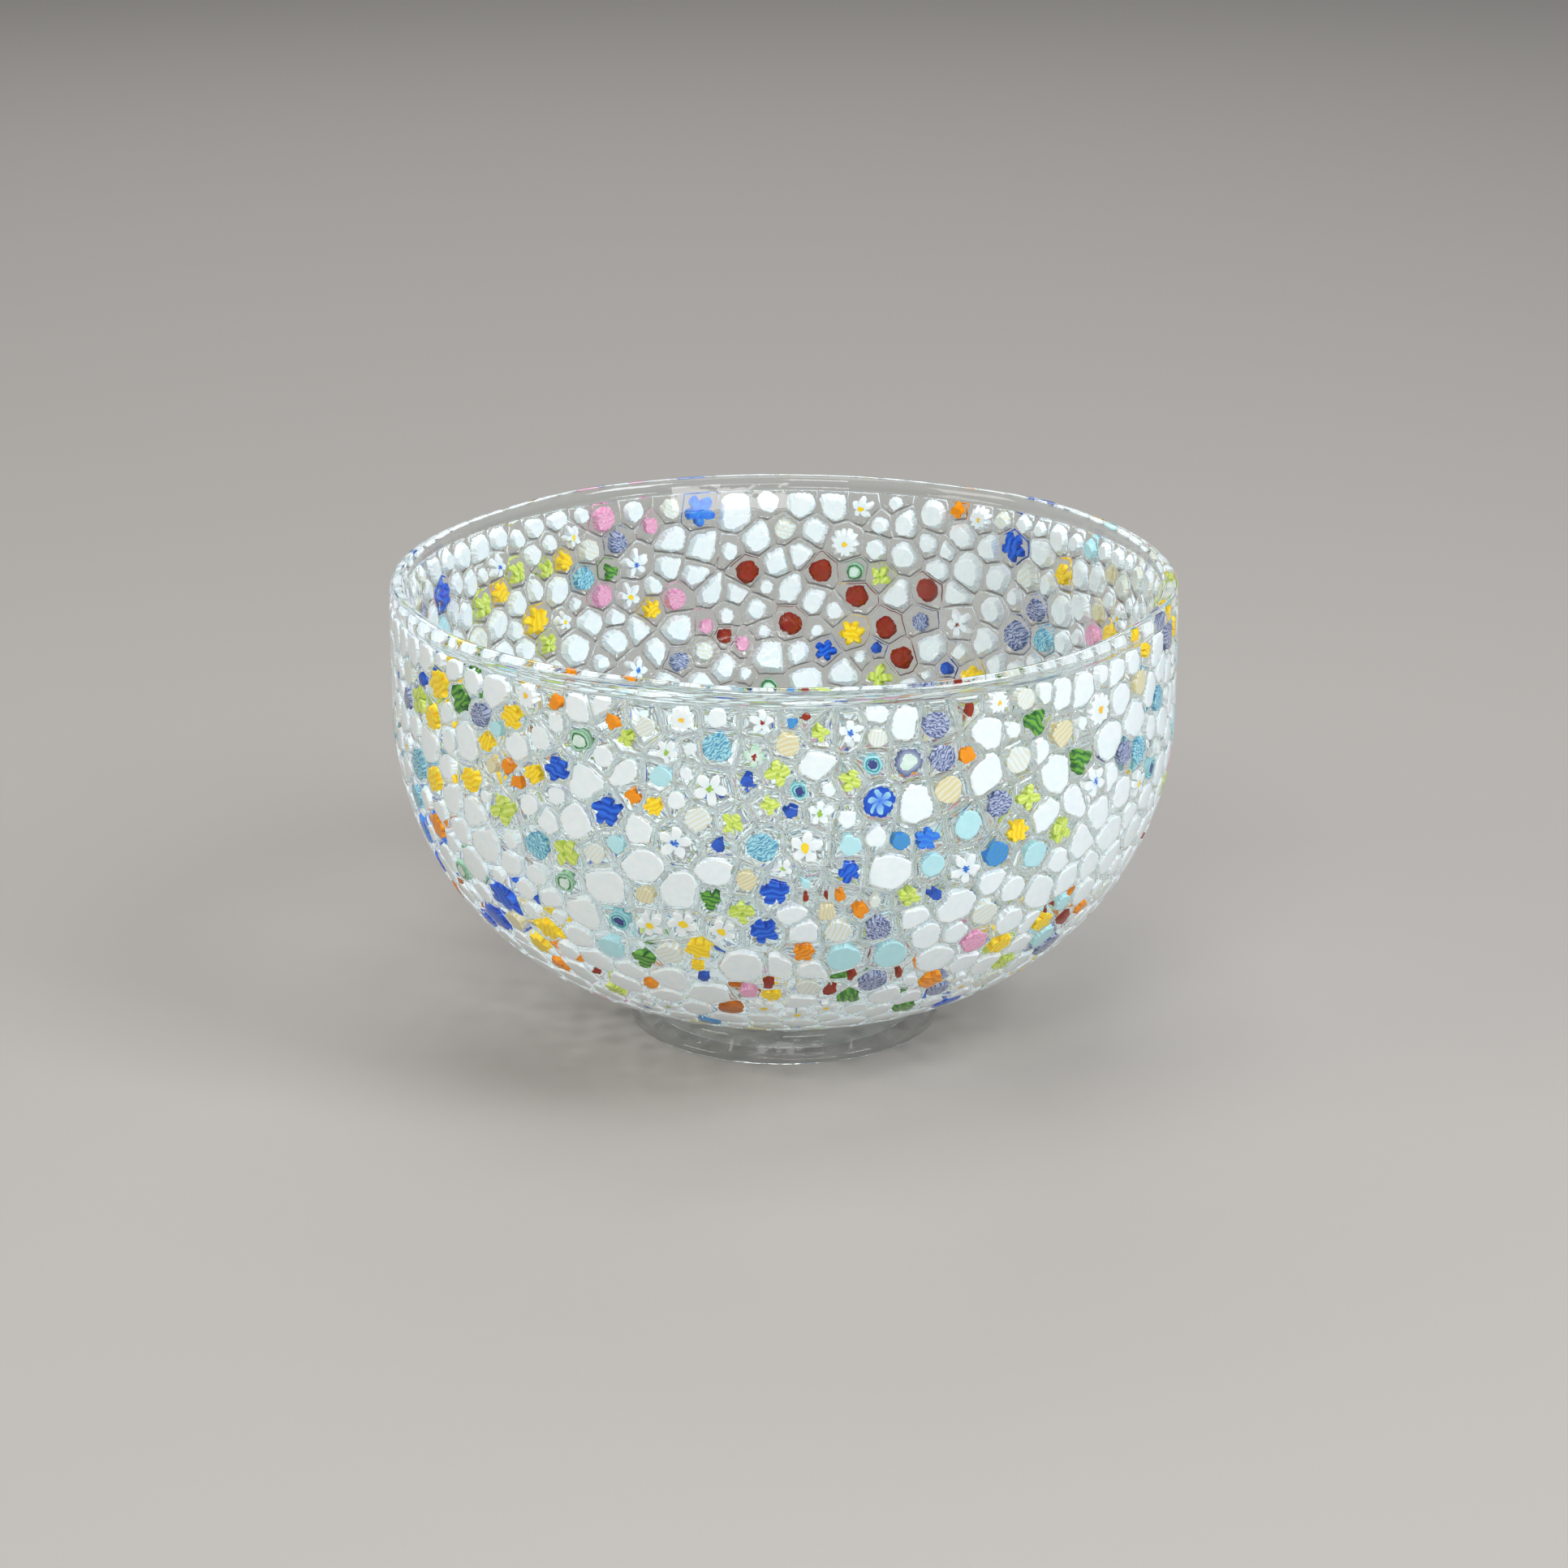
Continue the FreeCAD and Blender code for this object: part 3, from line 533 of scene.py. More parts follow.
def finish_closed(mesh):
    """Drop loose corners, close the last gaps and turn the faces outward."""
    work = bmesh.new()
    work.from_mesh(mesh)
    bmesh.ops.delete(work, geom=[v for v in work.verts if not v.link_faces], context="VERTS")
    open_edges = [e for e in work.edges if e.is_boundary]
    if open_edges:
        bmesh.ops.holes_fill(work, edges=open_edges, sides=40)
    bmesh.ops.recalc_face_normals(work, faces=work.faces)
    if work.calc_volume(signed=True) < 0:
        bmesh.ops.reverse_faces(work, faces=work.faces)
    left = sum(1 for e in work.edges if not e.is_manifold)
    print(f"{mesh.name}: {len(work.faces)} faces, {left} edges not closed")
    for face in work.faces:
        face.smooth = True
    work.to_mesh(mesh)
    work.free()


# ---------------------------------------------------------------- shader helpers

def add(tree, kind, settings=None, links=None):
    """Add one node, set its values and sockets, and link its inputs."""
    node = tree.nodes.new(kind)
    for key, value in (settings or {}).items():
        if isinstance(key, str) and hasattr(node, key) and key not in node.inputs:
            setattr(node, key, value)
        else:
            node.inputs[key].default_value = value
    for key, source in (links or {}).items():
        tree.links.new(source, node.inputs[key])
    return node


def new_material(name):
    material = bpy.data.materials.new(name)
    material.use_nodes = True
    material.node_tree.nodes.clear()
    return material, material.node_tree


def finish_material(tree, shader):
    add(tree, "ShaderNodeOutputMaterial", links={"Surface": shader.outputs[0]})


def clear_glass(colours):
    """Fire-polished soda-lime glass: clear and mirror-smooth, with the faint orange-peel that
    hot working leaves."""
    material, tree = new_material("fire_polished_clear_glass")
    place = add(tree, "ShaderNodeTexCoord")
    peel = add(tree, "ShaderNodeTexNoise", {"Scale": 1 / (1.6 * MM), "Detail": 1.0},
               {"Vector": place.outputs["Object"]})
    bump = add(tree, "ShaderNodeBump", {"Strength": 0.35, "Distance": 0.04 * MM},
               {"Height": peel.outputs[0]})
    glass = add(tree, "ShaderNodeBsdfPrincipled",
                {"Base Color": (*colours.clear, 1), "Roughness": 0.015, "IOR": 1.5,
                 "Transmission Weight": 1.0}, {"Normal": bump.outputs[0]})
    finish_material(tree, glass)
    return material


def math_node(tree, operation, first, second):
    node = add(tree, "ShaderNodeMath", {"operation": operation})
    for socket, value in zip(node.inputs, (first, second)):
        if isinstance(value, (int, float)):
            socket.default_value = value
        else:
            tree.links.new(value, socket)
    return node.outputs[0]


# Threads over a slice of unit radius: scale, distortion, its scale, and the way they run.
WAVES = {
    "ribbed": (0.7, 5.0, 1.4, "X"),
    "woven": (1.2, 9.0, 2.0, "X"),
    "hatched": (1.1, 1.6, 1.0, "DIAGONAL"),
}


def cane_pattern(tree, pattern, place):
    """How much of the second colour shows, from 0 to 1, over a slice of unit radius."""
    flat = place.outputs["UV"]
    if pattern in WAVES:
        scale, distortion, detail, bands = WAVES[pattern]
        waves = add(tree, "ShaderNodeTexWave",
                    {"Scale": scale, "Distortion": distortion, "Detail": 1.0,
                     "Detail Scale": detail, "bands_direction": bands}, {"Vector": flat})
        return waves.outputs["Fac"]
    length_node = add(tree, "ShaderNodeVectorMath", {"operation": "LENGTH"}, {0: flat})
    reach = length_node.outputs["Value"]
    if pattern == "rings":
        turns = math_node(tree, "MULTIPLY", reach, 16.0)
        return math_node(tree, "MULTIPLY_ADD", math_node(tree, "SINE", turns, 0), 0.5)
    if pattern in ("heart", "spokes"):
        return math_node(tree, "SUBTRACT", 1.0, reach)
    clouds = add(tree, "ShaderNodeTexNoise", {"Scale": 1 / (0.9 * MM), "Detail": 2.0},
                 {"Vector": place.outputs["Object"]})
    return clouds.outputs[0]


def cane_glass(name, main, second, pattern, glow):
    """Opaque soda-lime cane, drawn and sliced: the colour runs through it in fine threads, so
    the cut face shows clouds, ribs or rings. It is fused into clear glass, so it has no gloss
    of its own."""
    material, tree = new_material(name)
    place = add(tree, "ShaderNodeTexCoord")
    factor = cane_pattern(tree, pattern, place)
    mix = add(tree, "ShaderNodeMix", {"data_type": "RGBA"})
    mix.inputs[6].default_value = (*main, 1)
    mix.inputs[7].default_value = (*second, 1)
    tree.links.new(factor, mix.inputs[0])
    shader = add(tree, "ShaderNodeBsdfPrincipled",
                 {"Roughness": 0.45, "IOR": 1.5, "Specular IOR Level": 0.0,
                  "Subsurface Weight": glow, "Subsurface Scale": 0.8 * MM},
                 {"Base Color": mix.outputs[2]})
    finish_material(tree, shader)
    return material


# ---------------------------------------------------------------- slices by Geometry Nodes

WANDER_SCALE = 1 / (1.4 * MM)
FRAY_SCALE = 1 / (0.28 * MM)
FRAY_STEP = 0.22 * MM


def group_input(tree, name, kind, default=None):
    socket = tree.interface.new_socket(name=name, in_out="INPUT", socket_type=kind)
    if default is not None:
        socket.default_value = default
    return socket.identifier


def drift(tree, scale, amount):
    """A shift in three directions that changes with the place, as much as the amount."""
    place = add(tree, "GeometryNodeInputPosition")
    texture = add(tree, "ShaderNodeTexNoise", {"Scale": scale, "Detail": 0.0},
                  {"Vector": place.outputs[0]})
    centred = add(tree, "ShaderNodeVectorMath", {"operation": "SUBTRACT", 1: (0.5, 0.5, 0.5)},
                  {0: texture.outputs["Color"]})
    scaled = add(tree, "ShaderNodeVectorMath", {"operation": "SCALE"},
                 {0: centred.outputs[0], "Scale": amount})
    return scaled.outputs[0]


def end_tree(tree, geometry, start):
    """Realize the instances, stray and fray the outlines a little and set the material."""
    real = add(tree, "GeometryNodeRealizeInstances", links={"Geometry": geometry})
    wander = drift(tree, WANDER_SCALE, start.outputs["Wander"])
    fray = drift(tree, FRAY_SCALE, start.outputs["Fray"])
    both = add(tree, "ShaderNodeVectorMath", {"operation": "ADD"}, {0: wander, 1: fray})
    normal = add(tree, "GeometryNodeInputNamedAttribute",
                 {"data_type": "FLOAT_VECTOR", "Name": "slice_normal"})
    rise = add(tree, "ShaderNodeVectorMath", {"operation": "DOT_PRODUCT"},
               {0: both.outputs[0], 1: normal.outputs[0]})
    upward = add(tree, "ShaderNodeVectorMath", {"operation": "SCALE"},
                 {0: normal.outputs[0], "Scale": rise.outputs["Value"]})
    level = add(tree, "ShaderNodeVectorMath", {"operation": "SUBTRACT"},
                {0: both.outputs[0], 1: upward.outputs[0]})
    moved = add(tree, "GeometryNodeSetPosition",
                links={"Geometry": real.outputs[0], "Offset": level.outputs[0]})
    dressed = add(tree, "GeometryNodeSetMaterial",
                  links={"Geometry": moved.outputs[0], "Material": start.outputs["Material"]})
    add(tree, "NodeGroupOutput", links={0: dressed.outputs[0]})


def slice_tree():
    """A slice of round or petalled cane on every point, upright on the point's normal."""
    tree = bpy.data.node_groups.new("cane_slice", "GeometryNodeTree")
    sockets = {"Points": group_input(tree, "Points", "NodeSocketGeometry")}
    for name, kind, default in (("Petals", "NodeSocketFloat", 0.0), ("Notch", "NodeSocketFloat", 1.0),
                                ("Height", "NodeSocketFloat", 2 * MM),
                                ("Corners", "NodeSocketInt", 36),
                                ("Wander", "NodeSocketFloat", 0.0),
                                ("Fray", "NodeSocketFloat", 0.0),
                                ("Taper", "NodeSocketFloat", 1.0),
                                ("Material", "NodeSocketMaterial", None)):
        sockets[name] = group_input(tree, name, kind, default)
    tree.interface.new_socket(name="Slices", in_out="OUTPUT", socket_type="NodeSocketGeometry")
    start = add(tree, "NodeGroupInput")
    circle = add(tree, "GeometryNodeMeshCircle", {"fill_type": "NGON", "Radius": 1.0},
                 {"Vertices": start.outputs["Corners"]})
    place = add(tree, "GeometryNodeInputPosition")
    parts = add(tree, "ShaderNodeSeparateXYZ", links={0: place.outputs[0]})
    angle = math_node(tree, "ARCTAN2", parts.outputs[1], parts.outputs[0])
    half_turns = math_node(tree, "MULTIPLY", start.outputs["Petals"], 0.5)
    phase = math_node(tree, "MULTIPLY", angle, half_turns)
    lobe = math_node(tree, "ABSOLUTE", math_node(tree, "COSINE", phase, 0), 0)
    round_lobe = math_node(tree, "POWER", lobe, 0.75)
    depth = math_node(tree, "SUBTRACT", 1.0, start.outputs["Notch"])
    grow = math_node(tree, "MULTIPLY", round_lobe, depth)
    reach = math_node(tree, "ADD", grow, start.outputs["Notch"])
    scaled = add(tree, "ShaderNodeVectorMath", {"operation": "SCALE"},
                 {0: place.outputs[0], "Scale": reach})
    narrow = add(tree, "ShaderNodeVectorMath", {"operation": "SCALE"},
                 {0: scaled.outputs[0], "Scale": start.outputs["Taper"]})
    outline = add(tree, "GeometryNodeSetPosition",
                  links={"Geometry": circle.outputs[0], "Position": narrow.outputs[0]})
    widen = math_node(tree, "DIVIDE", 1.0, start.outputs["Taper"])
    under = add(tree, "GeometryNodeFlipFaces", links={"Mesh": outline.outputs[0]})
    body = add(tree, "GeometryNodeExtrudeMesh", {"Offset Scale": 0.94},
               {"Mesh": outline.outputs[0]})
    wide = add(tree, "GeometryNodeScaleElements",
               links={"Geometry": body.outputs["Mesh"], "Selection": body.outputs["Top"],
                      "Scale": widen})
    edge = add(tree, "GeometryNodeExtrudeMesh", {"Offset Scale": 0.06},
               {"Mesh": wide.outputs[0], "Selection": body.outputs["Top"]})
    softened = add(tree, "GeometryNodeScaleElements", {"Scale": 0.93},
                   {"Geometry": edge.outputs["Mesh"], "Selection": edge.outputs["Top"]})
    joined = add(tree, "GeometryNodeJoinGeometry")
    tree.links.new(softened.outputs[0], joined.inputs[0])
    tree.links.new(under.outputs[0], joined.inputs[0])
    welded = add(tree, "GeometryNodeMergeByDistance", {"Distance": 0.0005},
                 {"Geometry": joined.outputs[0]})
    mapped = add(tree, "GeometryNodeStoreNamedAttribute",
                 {"data_type": "FLOAT2", "domain": "CORNER", "Name": "UVMap"},
                 {"Geometry": welded.outputs[0], "Value": place.outputs[0]})
    normal = add(tree, "GeometryNodeInputNamedAttribute",
                 {"data_type": "FLOAT_VECTOR", "Name": "slice_normal"})
    across = add(tree, "GeometryNodeInputNamedAttribute",
                 {"data_type": "FLOAT_VECTOR", "Name": "slice_across"})
    radius = add(tree, "GeometryNodeInputNamedAttribute",
                 {"data_type": "FLOAT", "Name": "slice_radius"})
    turned = add(tree, "FunctionNodeAxesToRotation",
                 {"primary_axis": "Z", "secondary_axis": "X"},
                 {0: normal.outputs[0], 1: across.outputs[0]})
    stretch = add(tree, "ShaderNodeCombineXYZ",
                  links={0: radius.outputs[0], 1: radius.outputs[0], 2: start.outputs["Height"]})
    placed = add(tree, "GeometryNodeInstanceOnPoints",
                 links={"Points": start.outputs["Points"], "Instance": mapped.outputs[0],
                        "Rotation": turned.outputs[0], "Scale": stretch.outputs[0]})
    end_tree(tree, placed.outputs[0], start)
    return tree, sockets


def block_tree():
    """Raises every flat outline into a block with softened top edges."""
    tree = bpy.data.node_groups.new("cane_block", "GeometryNodeTree")
    sockets = {"Outlines": group_input(tree, "Outlines", "NodeSocketGeometry")}
    for name, kind, default in (("Height", "NodeSocketFloat", 2 * MM),
                                ("Wander", "NodeSocketFloat", 0.0),
                                ("Fray", "NodeSocketFloat", 0.0),
                                ("Taper", "NodeSocketFloat", 1.0),
                                ("Material", "NodeSocketMaterial", None)):
        sockets[name] = group_input(tree, name, kind, default)
    tree.interface.new_socket(name="Blocks", in_out="OUTPUT", socket_type="NodeSocketGeometry")
    start = add(tree, "NodeGroupInput")
    normal = add(tree, "GeometryNodeInputNamedAttribute",
                 {"data_type": "FLOAT_VECTOR", "Name": "slice_normal"})
    under = add(tree, "GeometryNodeFlipFaces", links={"Mesh": start.outputs["Outlines"]})
    low = math_node(tree, "MULTIPLY", start.outputs["Height"], 0.94)
    high = math_node(tree, "MULTIPLY", start.outputs["Height"], 0.06)
    body = add(tree, "GeometryNodeExtrudeMesh",
               links={"Mesh": start.outputs["Outlines"], "Offset": normal.outputs[0],
                      "Offset Scale": low})
    widen = math_node(tree, "DIVIDE", 1.0, start.outputs["Taper"])
    wide = add(tree, "GeometryNodeScaleElements",
               links={"Geometry": body.outputs["Mesh"], "Selection": body.outputs["Top"],
                      "Scale": widen})
    edge = add(tree, "GeometryNodeExtrudeMesh",
               links={"Mesh": wide.outputs[0], "Selection": body.outputs["Top"],
                      "Offset": normal.outputs[0], "Offset Scale": high})
    softened = add(tree, "GeometryNodeScaleElements", {"Scale": 0.93},
                   {"Geometry": edge.outputs["Mesh"], "Selection": edge.outputs["Top"]})
    joined = add(tree, "GeometryNodeJoinGeometry")
    tree.links.new(softened.outputs[0], joined.inputs[0])
    tree.links.new(under.outputs[0], joined.inputs[0])
    welded = add(tree, "GeometryNodeMergeByDistance", {"Distance": 0.001 * MM},
                 {"Geometry": joined.outputs[0]})
    end_tree(tree, welded.outputs[0], start)
    return tree, sockets


def grown_mesh(name, base, tree, values):
    """Run a tree on a base mesh and keep the result as a plain mesh."""
    carrier = bpy.data.objects.new(f"{name}_base", base)
    bpy.context.scene.collection.objects.link(carrier)
    modifier = carrier.modifiers.new("slices", "NODES")
    modifier.node_group = tree
    for identifier, value in values.items():
        modifier[identifier] = value
    bpy.context.view_layer.update()
    evaluated = carrier.evaluated_get(bpy.context.evaluated_depsgraph_get())
    mesh = bpy.data.meshes.new_from_object(evaluated, preserve_all_data_layers=True,
                                           depsgraph=bpy.context.evaluated_depsgraph_get())
    carrier.modifiers.remove(modifier)
    bpy.data.objects.remove(carrier)
    bpy.data.meshes.remove(base)
    mesh.name = name
    mesh.materials.clear()
    mesh.polygons.foreach_set("material_index", [0] * len(mesh.polygons))
    for leftover in ("slice_normal", "slice_across", "slice_radius"):
        if leftover in mesh.attributes:
            mesh.attributes.remove(mesh.attributes[leftover])
    return mesh


def store(mesh, name, kind, domain, values):
    """Store one attribute, its values in a flat list."""
    attribute = mesh.attributes.new(name, kind, domain)
    attribute.data.foreach_set("value" if kind == "FLOAT" else "vector", values)


def point_mesh(name, slices, sink):
    """A point for each slice, at the bottom of its core, with the axes and radius it needs."""
    mesh = bpy.data.meshes.new(f"{name}_points")
    mesh.from_pydata([s.centre - s.normal * sink for s in slices], [], [])
    turned = [Matrix.Rotation(s.turn, 3, s.normal) @ s.across for s in slices]
    store(mesh, "slice_normal", "FLOAT_VECTOR", "POINT", [c for s in slices for c in s.normal])
    store(mesh, "slice_across", "FLOAT_VECTOR", "POINT", [c for across in turned for c in across])
    store(mesh, "slice_radius", "FLOAT", "POINT", [s.radius for s in slices])
    return mesh


def rounded_outline(outline, steps):
    """A block's outline with its corners cut round."""
    points = outline
    for _ in range(steps):
        cut = []
        for a, b in zip(points, points[1:] + points[:1]):
            cut.append((0.8 * a[0] + 0.2 * b[0], 0.8 * a[1] + 0.2 * b[1]))
            cut.append((0.2 * a[0] + 0.8 * b[0], 0.2 * a[1] + 0.8 * b[1]))
        points = cut
    return points


def fine_outline(points):
    """An outline with its sides split to the step the fraying needs."""
    fine = []
    for a, b in zip(points, points[1:] + points[:1]):
        parts = max(1, round(math.hypot(b[0] - a[0], b[1] - a[1]) / FRAY_STEP))
        fine += [(a[0] + (b[0] - a[0]) * i / parts, a[1] + (b[1] - a[1]) * i / parts)
                 for i in range(parts)]
    return fine


def outline_mesh(name, slices, sink, taper):
    """One flat face for each block's narrow end, with its normal and a map in radii."""
    vertices = []
    faces = []
    places = []
    for s in slices:
        along = s.normal.cross(s.across)
        bottom = s.centre - s.normal * sink
        points = fine_outline(rounded_outline(s.outline, 2))
        faces.append(tuple(range(len(vertices), len(vertices) + len(points))))
        vertices += [bottom + (s.across * x + along * y) * taper for x, y in points]
        places += [(x / s.radius, y / s.radius) for x, y in points]
    mesh = bpy.data.meshes.new(f"{name}_outlines")
    mesh.from_pydata(vertices, [], faces)
    store(mesh, "slice_normal", "FLOAT_VECTOR", "FACE", [c for s in slices for c in s.normal])
    layer = mesh.uv_layers.new(name="UVMap")
    for loop in mesh.loops:
        layer.data[loop.index].uv = places[loop.vertex_index]
    return mesh


Kind = namedtuple("Kind", "petals notch main second pattern glow slot")
BLOCK = -1

KINDS = {
    "opal_white_blocks": Kind(BLOCK, 1, "opal", "opal_shade", "clouds", 0.2, "opal_white_glass"),
    "opal_white_rounds": Kind(0, 1, "opal", "opal_shade", "clouds", 0.2, "opal_white_glass"),
    "daisy_petals": Kind(11, 0.66, "opal", "opal_shade", "heart", 0.2, "opal_white_glass"),
    "white_blossom_petals": Kind(5, 0.26, "opal", "opal_shade", "heart", 0.2,
                                 "opal_white_glass"),
    "yellow_blossom_petals": Kind(6, 0.6, "yellow", "yellow_deep", "ribbed", 0, "yellow_glass"),
    "cobalt_blossom_petals": Kind(5, 0.45, "cobalt", "cobalt_pale", "ribbed", 0,
                                  "cobalt_glass"),
    "cobalt_star_rays": Kind(9, 0.9, "cobalt", "cobalt_pale", "heart", 0, "cobalt_glass"),
    "mid_blue_blossom_petals": Kind(5, 0.45, "mid_blue", "cobalt_pale", "ribbed", 0,
                                    "mid_blue_glass"),
    "lime_blossom_petals": Kind(4, 0.3, "lime", "lime_deep", "ribbed", 0, "lime_glass"),
    "pale_green_blossom_petals": Kind(4, 0.42, "pale_green", "opal", "heart", 0,
                                      "pale_green_glass"),
    "orange_blossom_petals": Kind(5, 0.6, "orange", "orange_deep", "ribbed", 0,
                                  "orange_glass"),
    "dark_green_clovers": Kind(3, 0.3, "dark_green", "leaf_green", "ribbed", 0, "dark_green_glass"),
    "mid_blue_discs": Kind(0, 1, "mid_blue", "teal_pale", "ribbed", 0, "mid_blue_glass"),
    "aqua_discs": Kind(0, 1, "aqua", "aqua_pale", "clouds", 0, "aqua_glass"),
    "teal_discs": Kind(0, 1, "aqua", "teal_pale", "woven", 0, "teal_glass"),
    "navy_discs": Kind(0, 1, "navy", "navy_pale", "woven", 0, "navy_glass"),
    "ivory_discs": Kind(0, 1, "ivory", "opal_shade", "hatched", 0, "ivory_glass"),
    "beige_discs": Kind(0, 1, "beige", "ivory", "hatched", 0, "beige_glass"),
    "pink_discs": Kind(0, 1, "pink", "pink_pale", "woven", 0, "pink_glass"),
    "brown_discs": Kind(0, 1, "brown", "orange_deep", "clouds", 0, "brown_glass"),
    "teal_eye_rings": Kind(0, 1, "teal", "aqua", "rings", 0, "teal_glass"),
    "dark_green_rings": Kind(0, 1, "dark_green", "pale_green", "rings", 0, "dark_green_glass"),
    "navy_rings": Kind(13, 0.84, "navy", "opal_shade", "heart", 0, "navy_glass"),
    "orange_dots": Kind(4, 0.7, "orange", "orange_deep", "clouds", 0, "orange_glass"),
    "indigo_dots": Kind(0, 1, "indigo", "cobalt_pale", "clouds", 0, "indigo_glass"),
    "dark_red_bars": Kind(BLOCK, 1, "dark_red", "brown", "hatched", 0, "dark_red_glass"),
    "dark_red_discs": Kind(0, 1, "dark_red", "brown", "clouds", 0, "dark_red_glass"),
}

HEARTS = {
    "orange_hearts": Kind(0, 1, "orange", "yellow", "clouds", 0, "orange_glass"),
    "red_brown_hearts": Kind(5, 0.4, "brown", "dark_red", "clouds", 0, "brown_glass"),
    "blue_hearts": Kind(6, 0.25, "mid_blue", "cobalt", "clouds", 0, "mid_blue_glass"),
    "yellow_hearts": Kind(0, 1, "yellow", "yellow_deep", "clouds", 0, "yellow_glass"),
    "green_hearts": Kind(4, 0.5, "leaf_green", "lime_deep", "clouds", 0, "dark_green_glass"),
    "navy_hearts": Kind(0, 1, "navy", "indigo", "clouds", 0, "navy_glass"),
    "pale_green_hearts": Kind(0, 1, "pale_green", "opal", "clouds", 0, "pale_green_glass"),
    "pale_star_hearts": Kind(6, 0.2, "aqua", "cobalt_pale", "spokes", 0, "aqua_glass"),
}


def make_slices(kinds, lift):
    """Every slice of the given kinds, lifted so that a heart shows above its core."""
    shape = bpy.context.scene.bowl_shape
    colours = bpy.context.scene.bowl_colours
    rounds, round_sockets = slice_tree()
    blocks, block_sockets = block_tree()
    height = SLICE_THICKNESS - shape.core_cover + shape.core_sink + 2 * lift
    for node, kind in kinds.items():
        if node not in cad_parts:
            raise RuntimeError(f"the frame has no node {node}")
        slices = cad_slices(node)
        material = cane_glass(f"{node}_cane_glass", getattr(colours, kind.main),
                              getattr(colours, kind.second), kind.pattern, kind.glow)
        values = {"Height": height, "Wander": shape.core_wander, "Fray": shape.core_fray,
                  "Taper": shape.core_taper, "Material": material}
        if kind.petals == BLOCK:
            base = outline_mesh(node, slices, shape.core_sink + lift, shape.core_taper)
            tree, sockets = blocks, block_sockets
        else:
            base = point_mesh(node, slices, shape.core_sink + lift)
            values |= {"Petals": float(kind.petals), "Notch": float(kind.notch),
                       "Corners": shape.circle_points}
            tree, sockets = rounds, round_sockets
        mesh = grown_mesh(node, base, tree, {sockets[k]: v for k, v in values.items()})
        new_piece(f"{node}_glass", mesh, material, [node])


FOOT_STEPS = 128
NECK_RADIUS = 17.0 * MM
HOLLOW_RADIUS = 15.9 * MM
HOLLOW_TOP_RADIUS = 13.4 * MM
SOFT_EDGE = 0.35 * MM
FOOT_LIP = 1.1 * MM
FLARE_DEPTH = 0.72 * MM
SEAT_GAP = 0.16 * MM


def seat_height(radius):
    """Height of the foot's seat against the belly, a little under the slices."""
    arc = BELLY_ARC + SLICE_THICKNESS + SEAT_GAP
    out = max(0, radius - BASE_RADIUS)
    return SHOULDER - math.sqrt(arc ** 2 - out ** 2)


def foot_outline():
    """Radius and height round the foot's section: hollow, resting face, edge, flare and seat."""
    outer, neck_top = FOOT_RADIUS, seat_height(NECK_RADIUS)
    places = [(HOLLOW_TOP_RADIUS, seat_height(HOLLOW_TOP_RADIUS)),
              (HOLLOW_RADIUS - 0.4 * SOFT_EDGE, SOFT_EDGE), (HOLLOW_RADIUS + SOFT_EDGE, 0),
              (outer - SOFT_EDGE, 0), (outer - 0.3 * SOFT_EDGE, 0.3 * SOFT_EDGE),
              (outer, SOFT_EDGE), (outer, FOOT_LIP - SOFT_EDGE),
              (outer - 0.4 * SOFT_EDGE, FOOT_LIP)]
    start = places[-1]
    for i in range(1, 9):
        share = i / 8
        bend = math.sin(share * math.pi) * FLARE_DEPTH
        places.append((start[0] + (NECK_RADIUS - start[0]) * share - 0.7 * bend,
                       start[1] + (neck_top - start[1]) * share - 0.7 * bend))
    for i in range(1, 4):
        radius = NECK_RADIUS + (HOLLOW_TOP_RADIUS - NECK_RADIUS) * i / 4
        places.append((radius, seat_height(radius)))
    return places


# ---------------------------------------------------------------- operators

class BOWL_OT_clear_body(bpy.types.Operator):
    """Build the clear wall with its seams, rounded rim and smooth inside"""
    bl_idname = "bowl.clear_body"
    bl_label = "Clear glass wall"

    def execute(self, context):
        mesh = clear_body_mesh(context.scene.bowl_shape)
        wall = new_piece("clear_glass_wall", mesh, clear_glass(context.scene.bowl_colours),
                         ["clear_lining", "rim_trail", *CASINGS])
        wall.visible_shadow = False
        wall.visible_diffuse = False
        return {"FINISHED"}


class BOWL_OT_foot(bpy.types.Operator):
    """Build the applied clear foot"""
    bl_idname = "bowl.foot"
    bl_label = "Clear foot"

    def execute(self, context):
        places = foot_outline()
        steps = FOOT_STEPS
        vertices = []
        for radius, height in places:
            for k in range(steps):
                angle = 2 * math.pi * k / steps
                vertices.append((radius * math.cos(angle), radius * math.sin(angle), height))
        faces = []
        count = len(places)
        for j in range(count):
            for k in range(steps):
                a, b = j * steps + k, j * steps + (k + 1) % steps
                c, d = ((j + 1) % count) * steps + (k + 1) % steps, ((j + 1) % count) * steps + k
                faces.append((a, b, c, d))
        mesh = mesh_from("clear_glass_foot", vertices, faces)
        finish_closed(mesh)
        foot = new_piece("clear_glass_foot", mesh, clear_glass(context.scene.bowl_colours),
                         ["clear_foot"])
        foot.visible_shadow = False
        foot.visible_diffuse = False
        return {"FINISHED"}


class BOWL_OT_cores(bpy.types.Operator):
    """Build the coloured cores of the slices"""
    bl_idname = "bowl.cores"
    bl_label = "Cane cores"

    def execute(self, context):
        make_slices(KINDS, 0)
        return {"FINISHED"}


class BOWL_OT_hearts(bpy.types.Operator):
    """Build the hearts in the middle of the cores"""
    bl_idname = "bowl.hearts"
    bl_label = "Cane hearts"

    def execute(self, context):
        make_slices(HEARTS, 0.02 * MM)
        return {"FINISHED"}


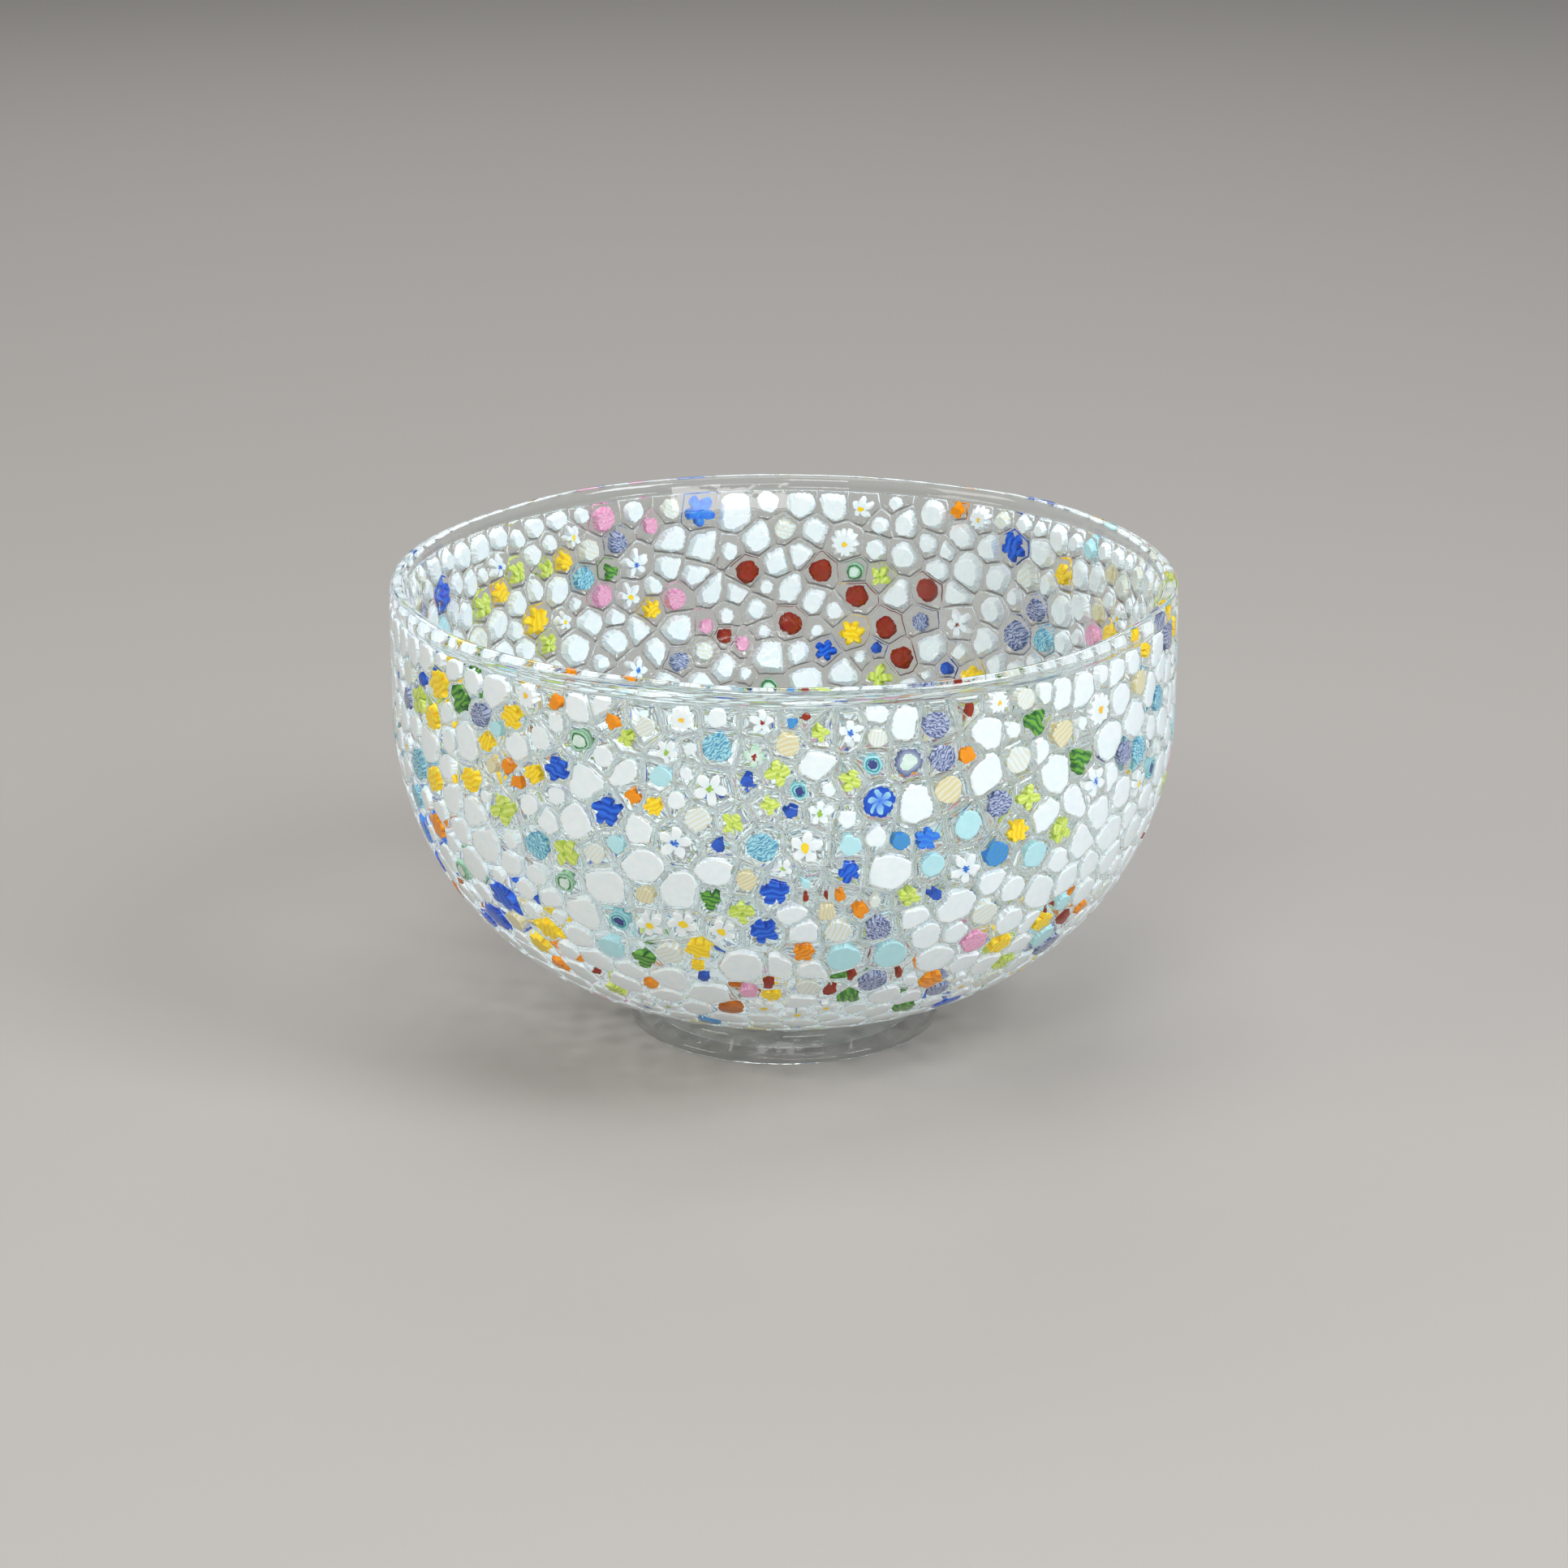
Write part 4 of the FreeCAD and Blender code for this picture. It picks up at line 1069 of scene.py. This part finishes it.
class BOWL_OT_stage(bpy.types.Operator):
    """Set up the floor, the soft lights and the camera"""
    bl_idname = "bowl.stage"
    bl_label = "Studio"

    def execute(self, context):
        scene = context.scene
        make_floor(scene.bowl_colours.floor)
        make_lights()
        make_camera()
        return {"FINISHED"}


def make_floor(tint):
    """A pale sweep that turns up far behind the bowl."""
    half = 1.6
    bend, back = 0.5, 1.1
    profile = [(-1.6, 0), (back, 0)]
    profile += [(back + bend * math.sin(a * math.pi / 16), bend - bend * math.cos(a * math.pi / 16))
                for a in range(1, 9)]
    profile.append((back + bend, 1.6))
    vertices = [(x, y, z) for y, z in profile for x in (-half, half)]
    faces = [(2 * i, 2 * i + 1, 2 * i + 3, 2 * i + 2) for i in range(len(profile) - 1)]
    mesh = mesh_from("studio_floor", vertices, faces)
    material, tree = new_material("matt_painted_board")
    shader = add(tree, "ShaderNodeBsdfPrincipled", {"Base Color": (*tint, 1), "Roughness": 0.6,
                                                    "Specular IOR Level": 0.3})
    finish_material(tree, shader)
    mesh.materials.append(material)
    floor = bpy.data.objects.new("studio_floor", mesh)
    bpy.context.scene.collection.objects.link(floor)


def make_lights():
    world = bpy.data.worlds.new("studio_air")
    world.use_nodes = True
    background = world.node_tree.nodes["Background"]
    background.inputs["Color"].default_value = (*linear("DCE3EA"), 1)
    background.inputs["Strength"].default_value = 0.26
    bpy.context.scene.world = world
    target = Vector((0, 0, HEIGHT / 2))
    for name, place, size, power, tint in (
            ("window", (0.55, -0.35, 0.55), (0.30, 0.45), 5.0, "F4F8FF"),
            ("fill", (-0.70, -0.30, 0.40), (0.40, 0.40), 2.3, "FFF8F0"),
            ("back", (-0.10, 0.75, 0.60), (0.80, 0.30), 2.6, "F8FBFF"),
            ("low", (0.20, -0.62, 0.10), (0.45, 0.10), 0.8, "FFFFFF"),
            ("front", (-0.12, -0.62, 0.50), (0.25, 0.20), 1.6, "FFFFFF"),
            ("top", (0.0, 0.0, 0.90), (0.50, 0.50), 2.0, "FFFFFF")):
        light = bpy.data.lights.new(name, "AREA")
        light.shape = "RECTANGLE"
        light.size, light.size_y = size
        light.energy = power
        light.color = linear(tint)
        lamp = bpy.data.objects.new(name, light)
        lamp.location = place
        lamp.rotation_euler = (Vector(place) - target).to_track_quat("Z", "Y").to_euler()
        bpy.context.scene.collection.objects.link(lamp)


def make_camera():
    """A long lens a little above the rim, aimed at the middle of the bowl."""
    lens = bpy.data.cameras.new("camera")
    lens.lens = 100
    lens.sensor_width = 36
    lens.clip_start = 0.01
    camera = bpy.data.objects.new("camera", lens)
    camera.location = (0, -0.5333, 0.2116)
    target = Vector((0, 0, 0.0309))
    camera.rotation_euler = (camera.location - target).to_track_quat("Z", "Y").to_euler()
    bpy.context.scene.collection.objects.link(camera)
    bpy.context.scene.camera = camera
    bpy.context.scene.view_settings.view_transform = "Standard"


class BOWL_PT_panel(bpy.types.Panel):
    """Sidebar panel with the bowl's steps, sizes and colours"""
    bl_idname = "BOWL_PT_panel"
    bl_label = "Glass Bowl"
    bl_space_type = "VIEW_3D"
    bl_region_type = "UI"
    bl_category = "Glass Bowl"

    def draw(self, context):
        for operator in OPERATORS:
            self.layout.operator(operator.bl_idname)
        for group in (context.scene.bowl_shape, context.scene.bowl_colours):
            for name in group.bl_rna.properties.keys():
                if name not in ("rna_type", "name"):
                    self.layout.prop(group, name)


OPERATORS = (BOWL_OT_stage, BOWL_OT_clear_body, BOWL_OT_foot, BOWL_OT_cores, BOWL_OT_hearts)
CLASSES = (BowlShape, BowlColours, *OPERATORS, BOWL_PT_panel)


def register():
    for cls in CLASSES:
        bpy.utils.register_class(cls)
    bpy.types.Scene.bowl_shape = PointerProperty(type=BowlShape)
    bpy.types.Scene.bowl_colours = PointerProperty(type=BowlColours)


def unregister():
    del bpy.types.Scene.bowl_colours
    del bpy.types.Scene.bowl_shape
    for cls in reversed(CLASSES):
        bpy.utils.unregister_class(cls)


def main():
    register()
    bpy.ops.bowl.stage()
    bpy.ops.bowl.clear_body()
    bpy.ops.bowl.foot()
    bpy.ops.bowl.cores()
    bpy.ops.bowl.hearts()
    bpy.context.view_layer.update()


if __name__ == "__main__":
    main()
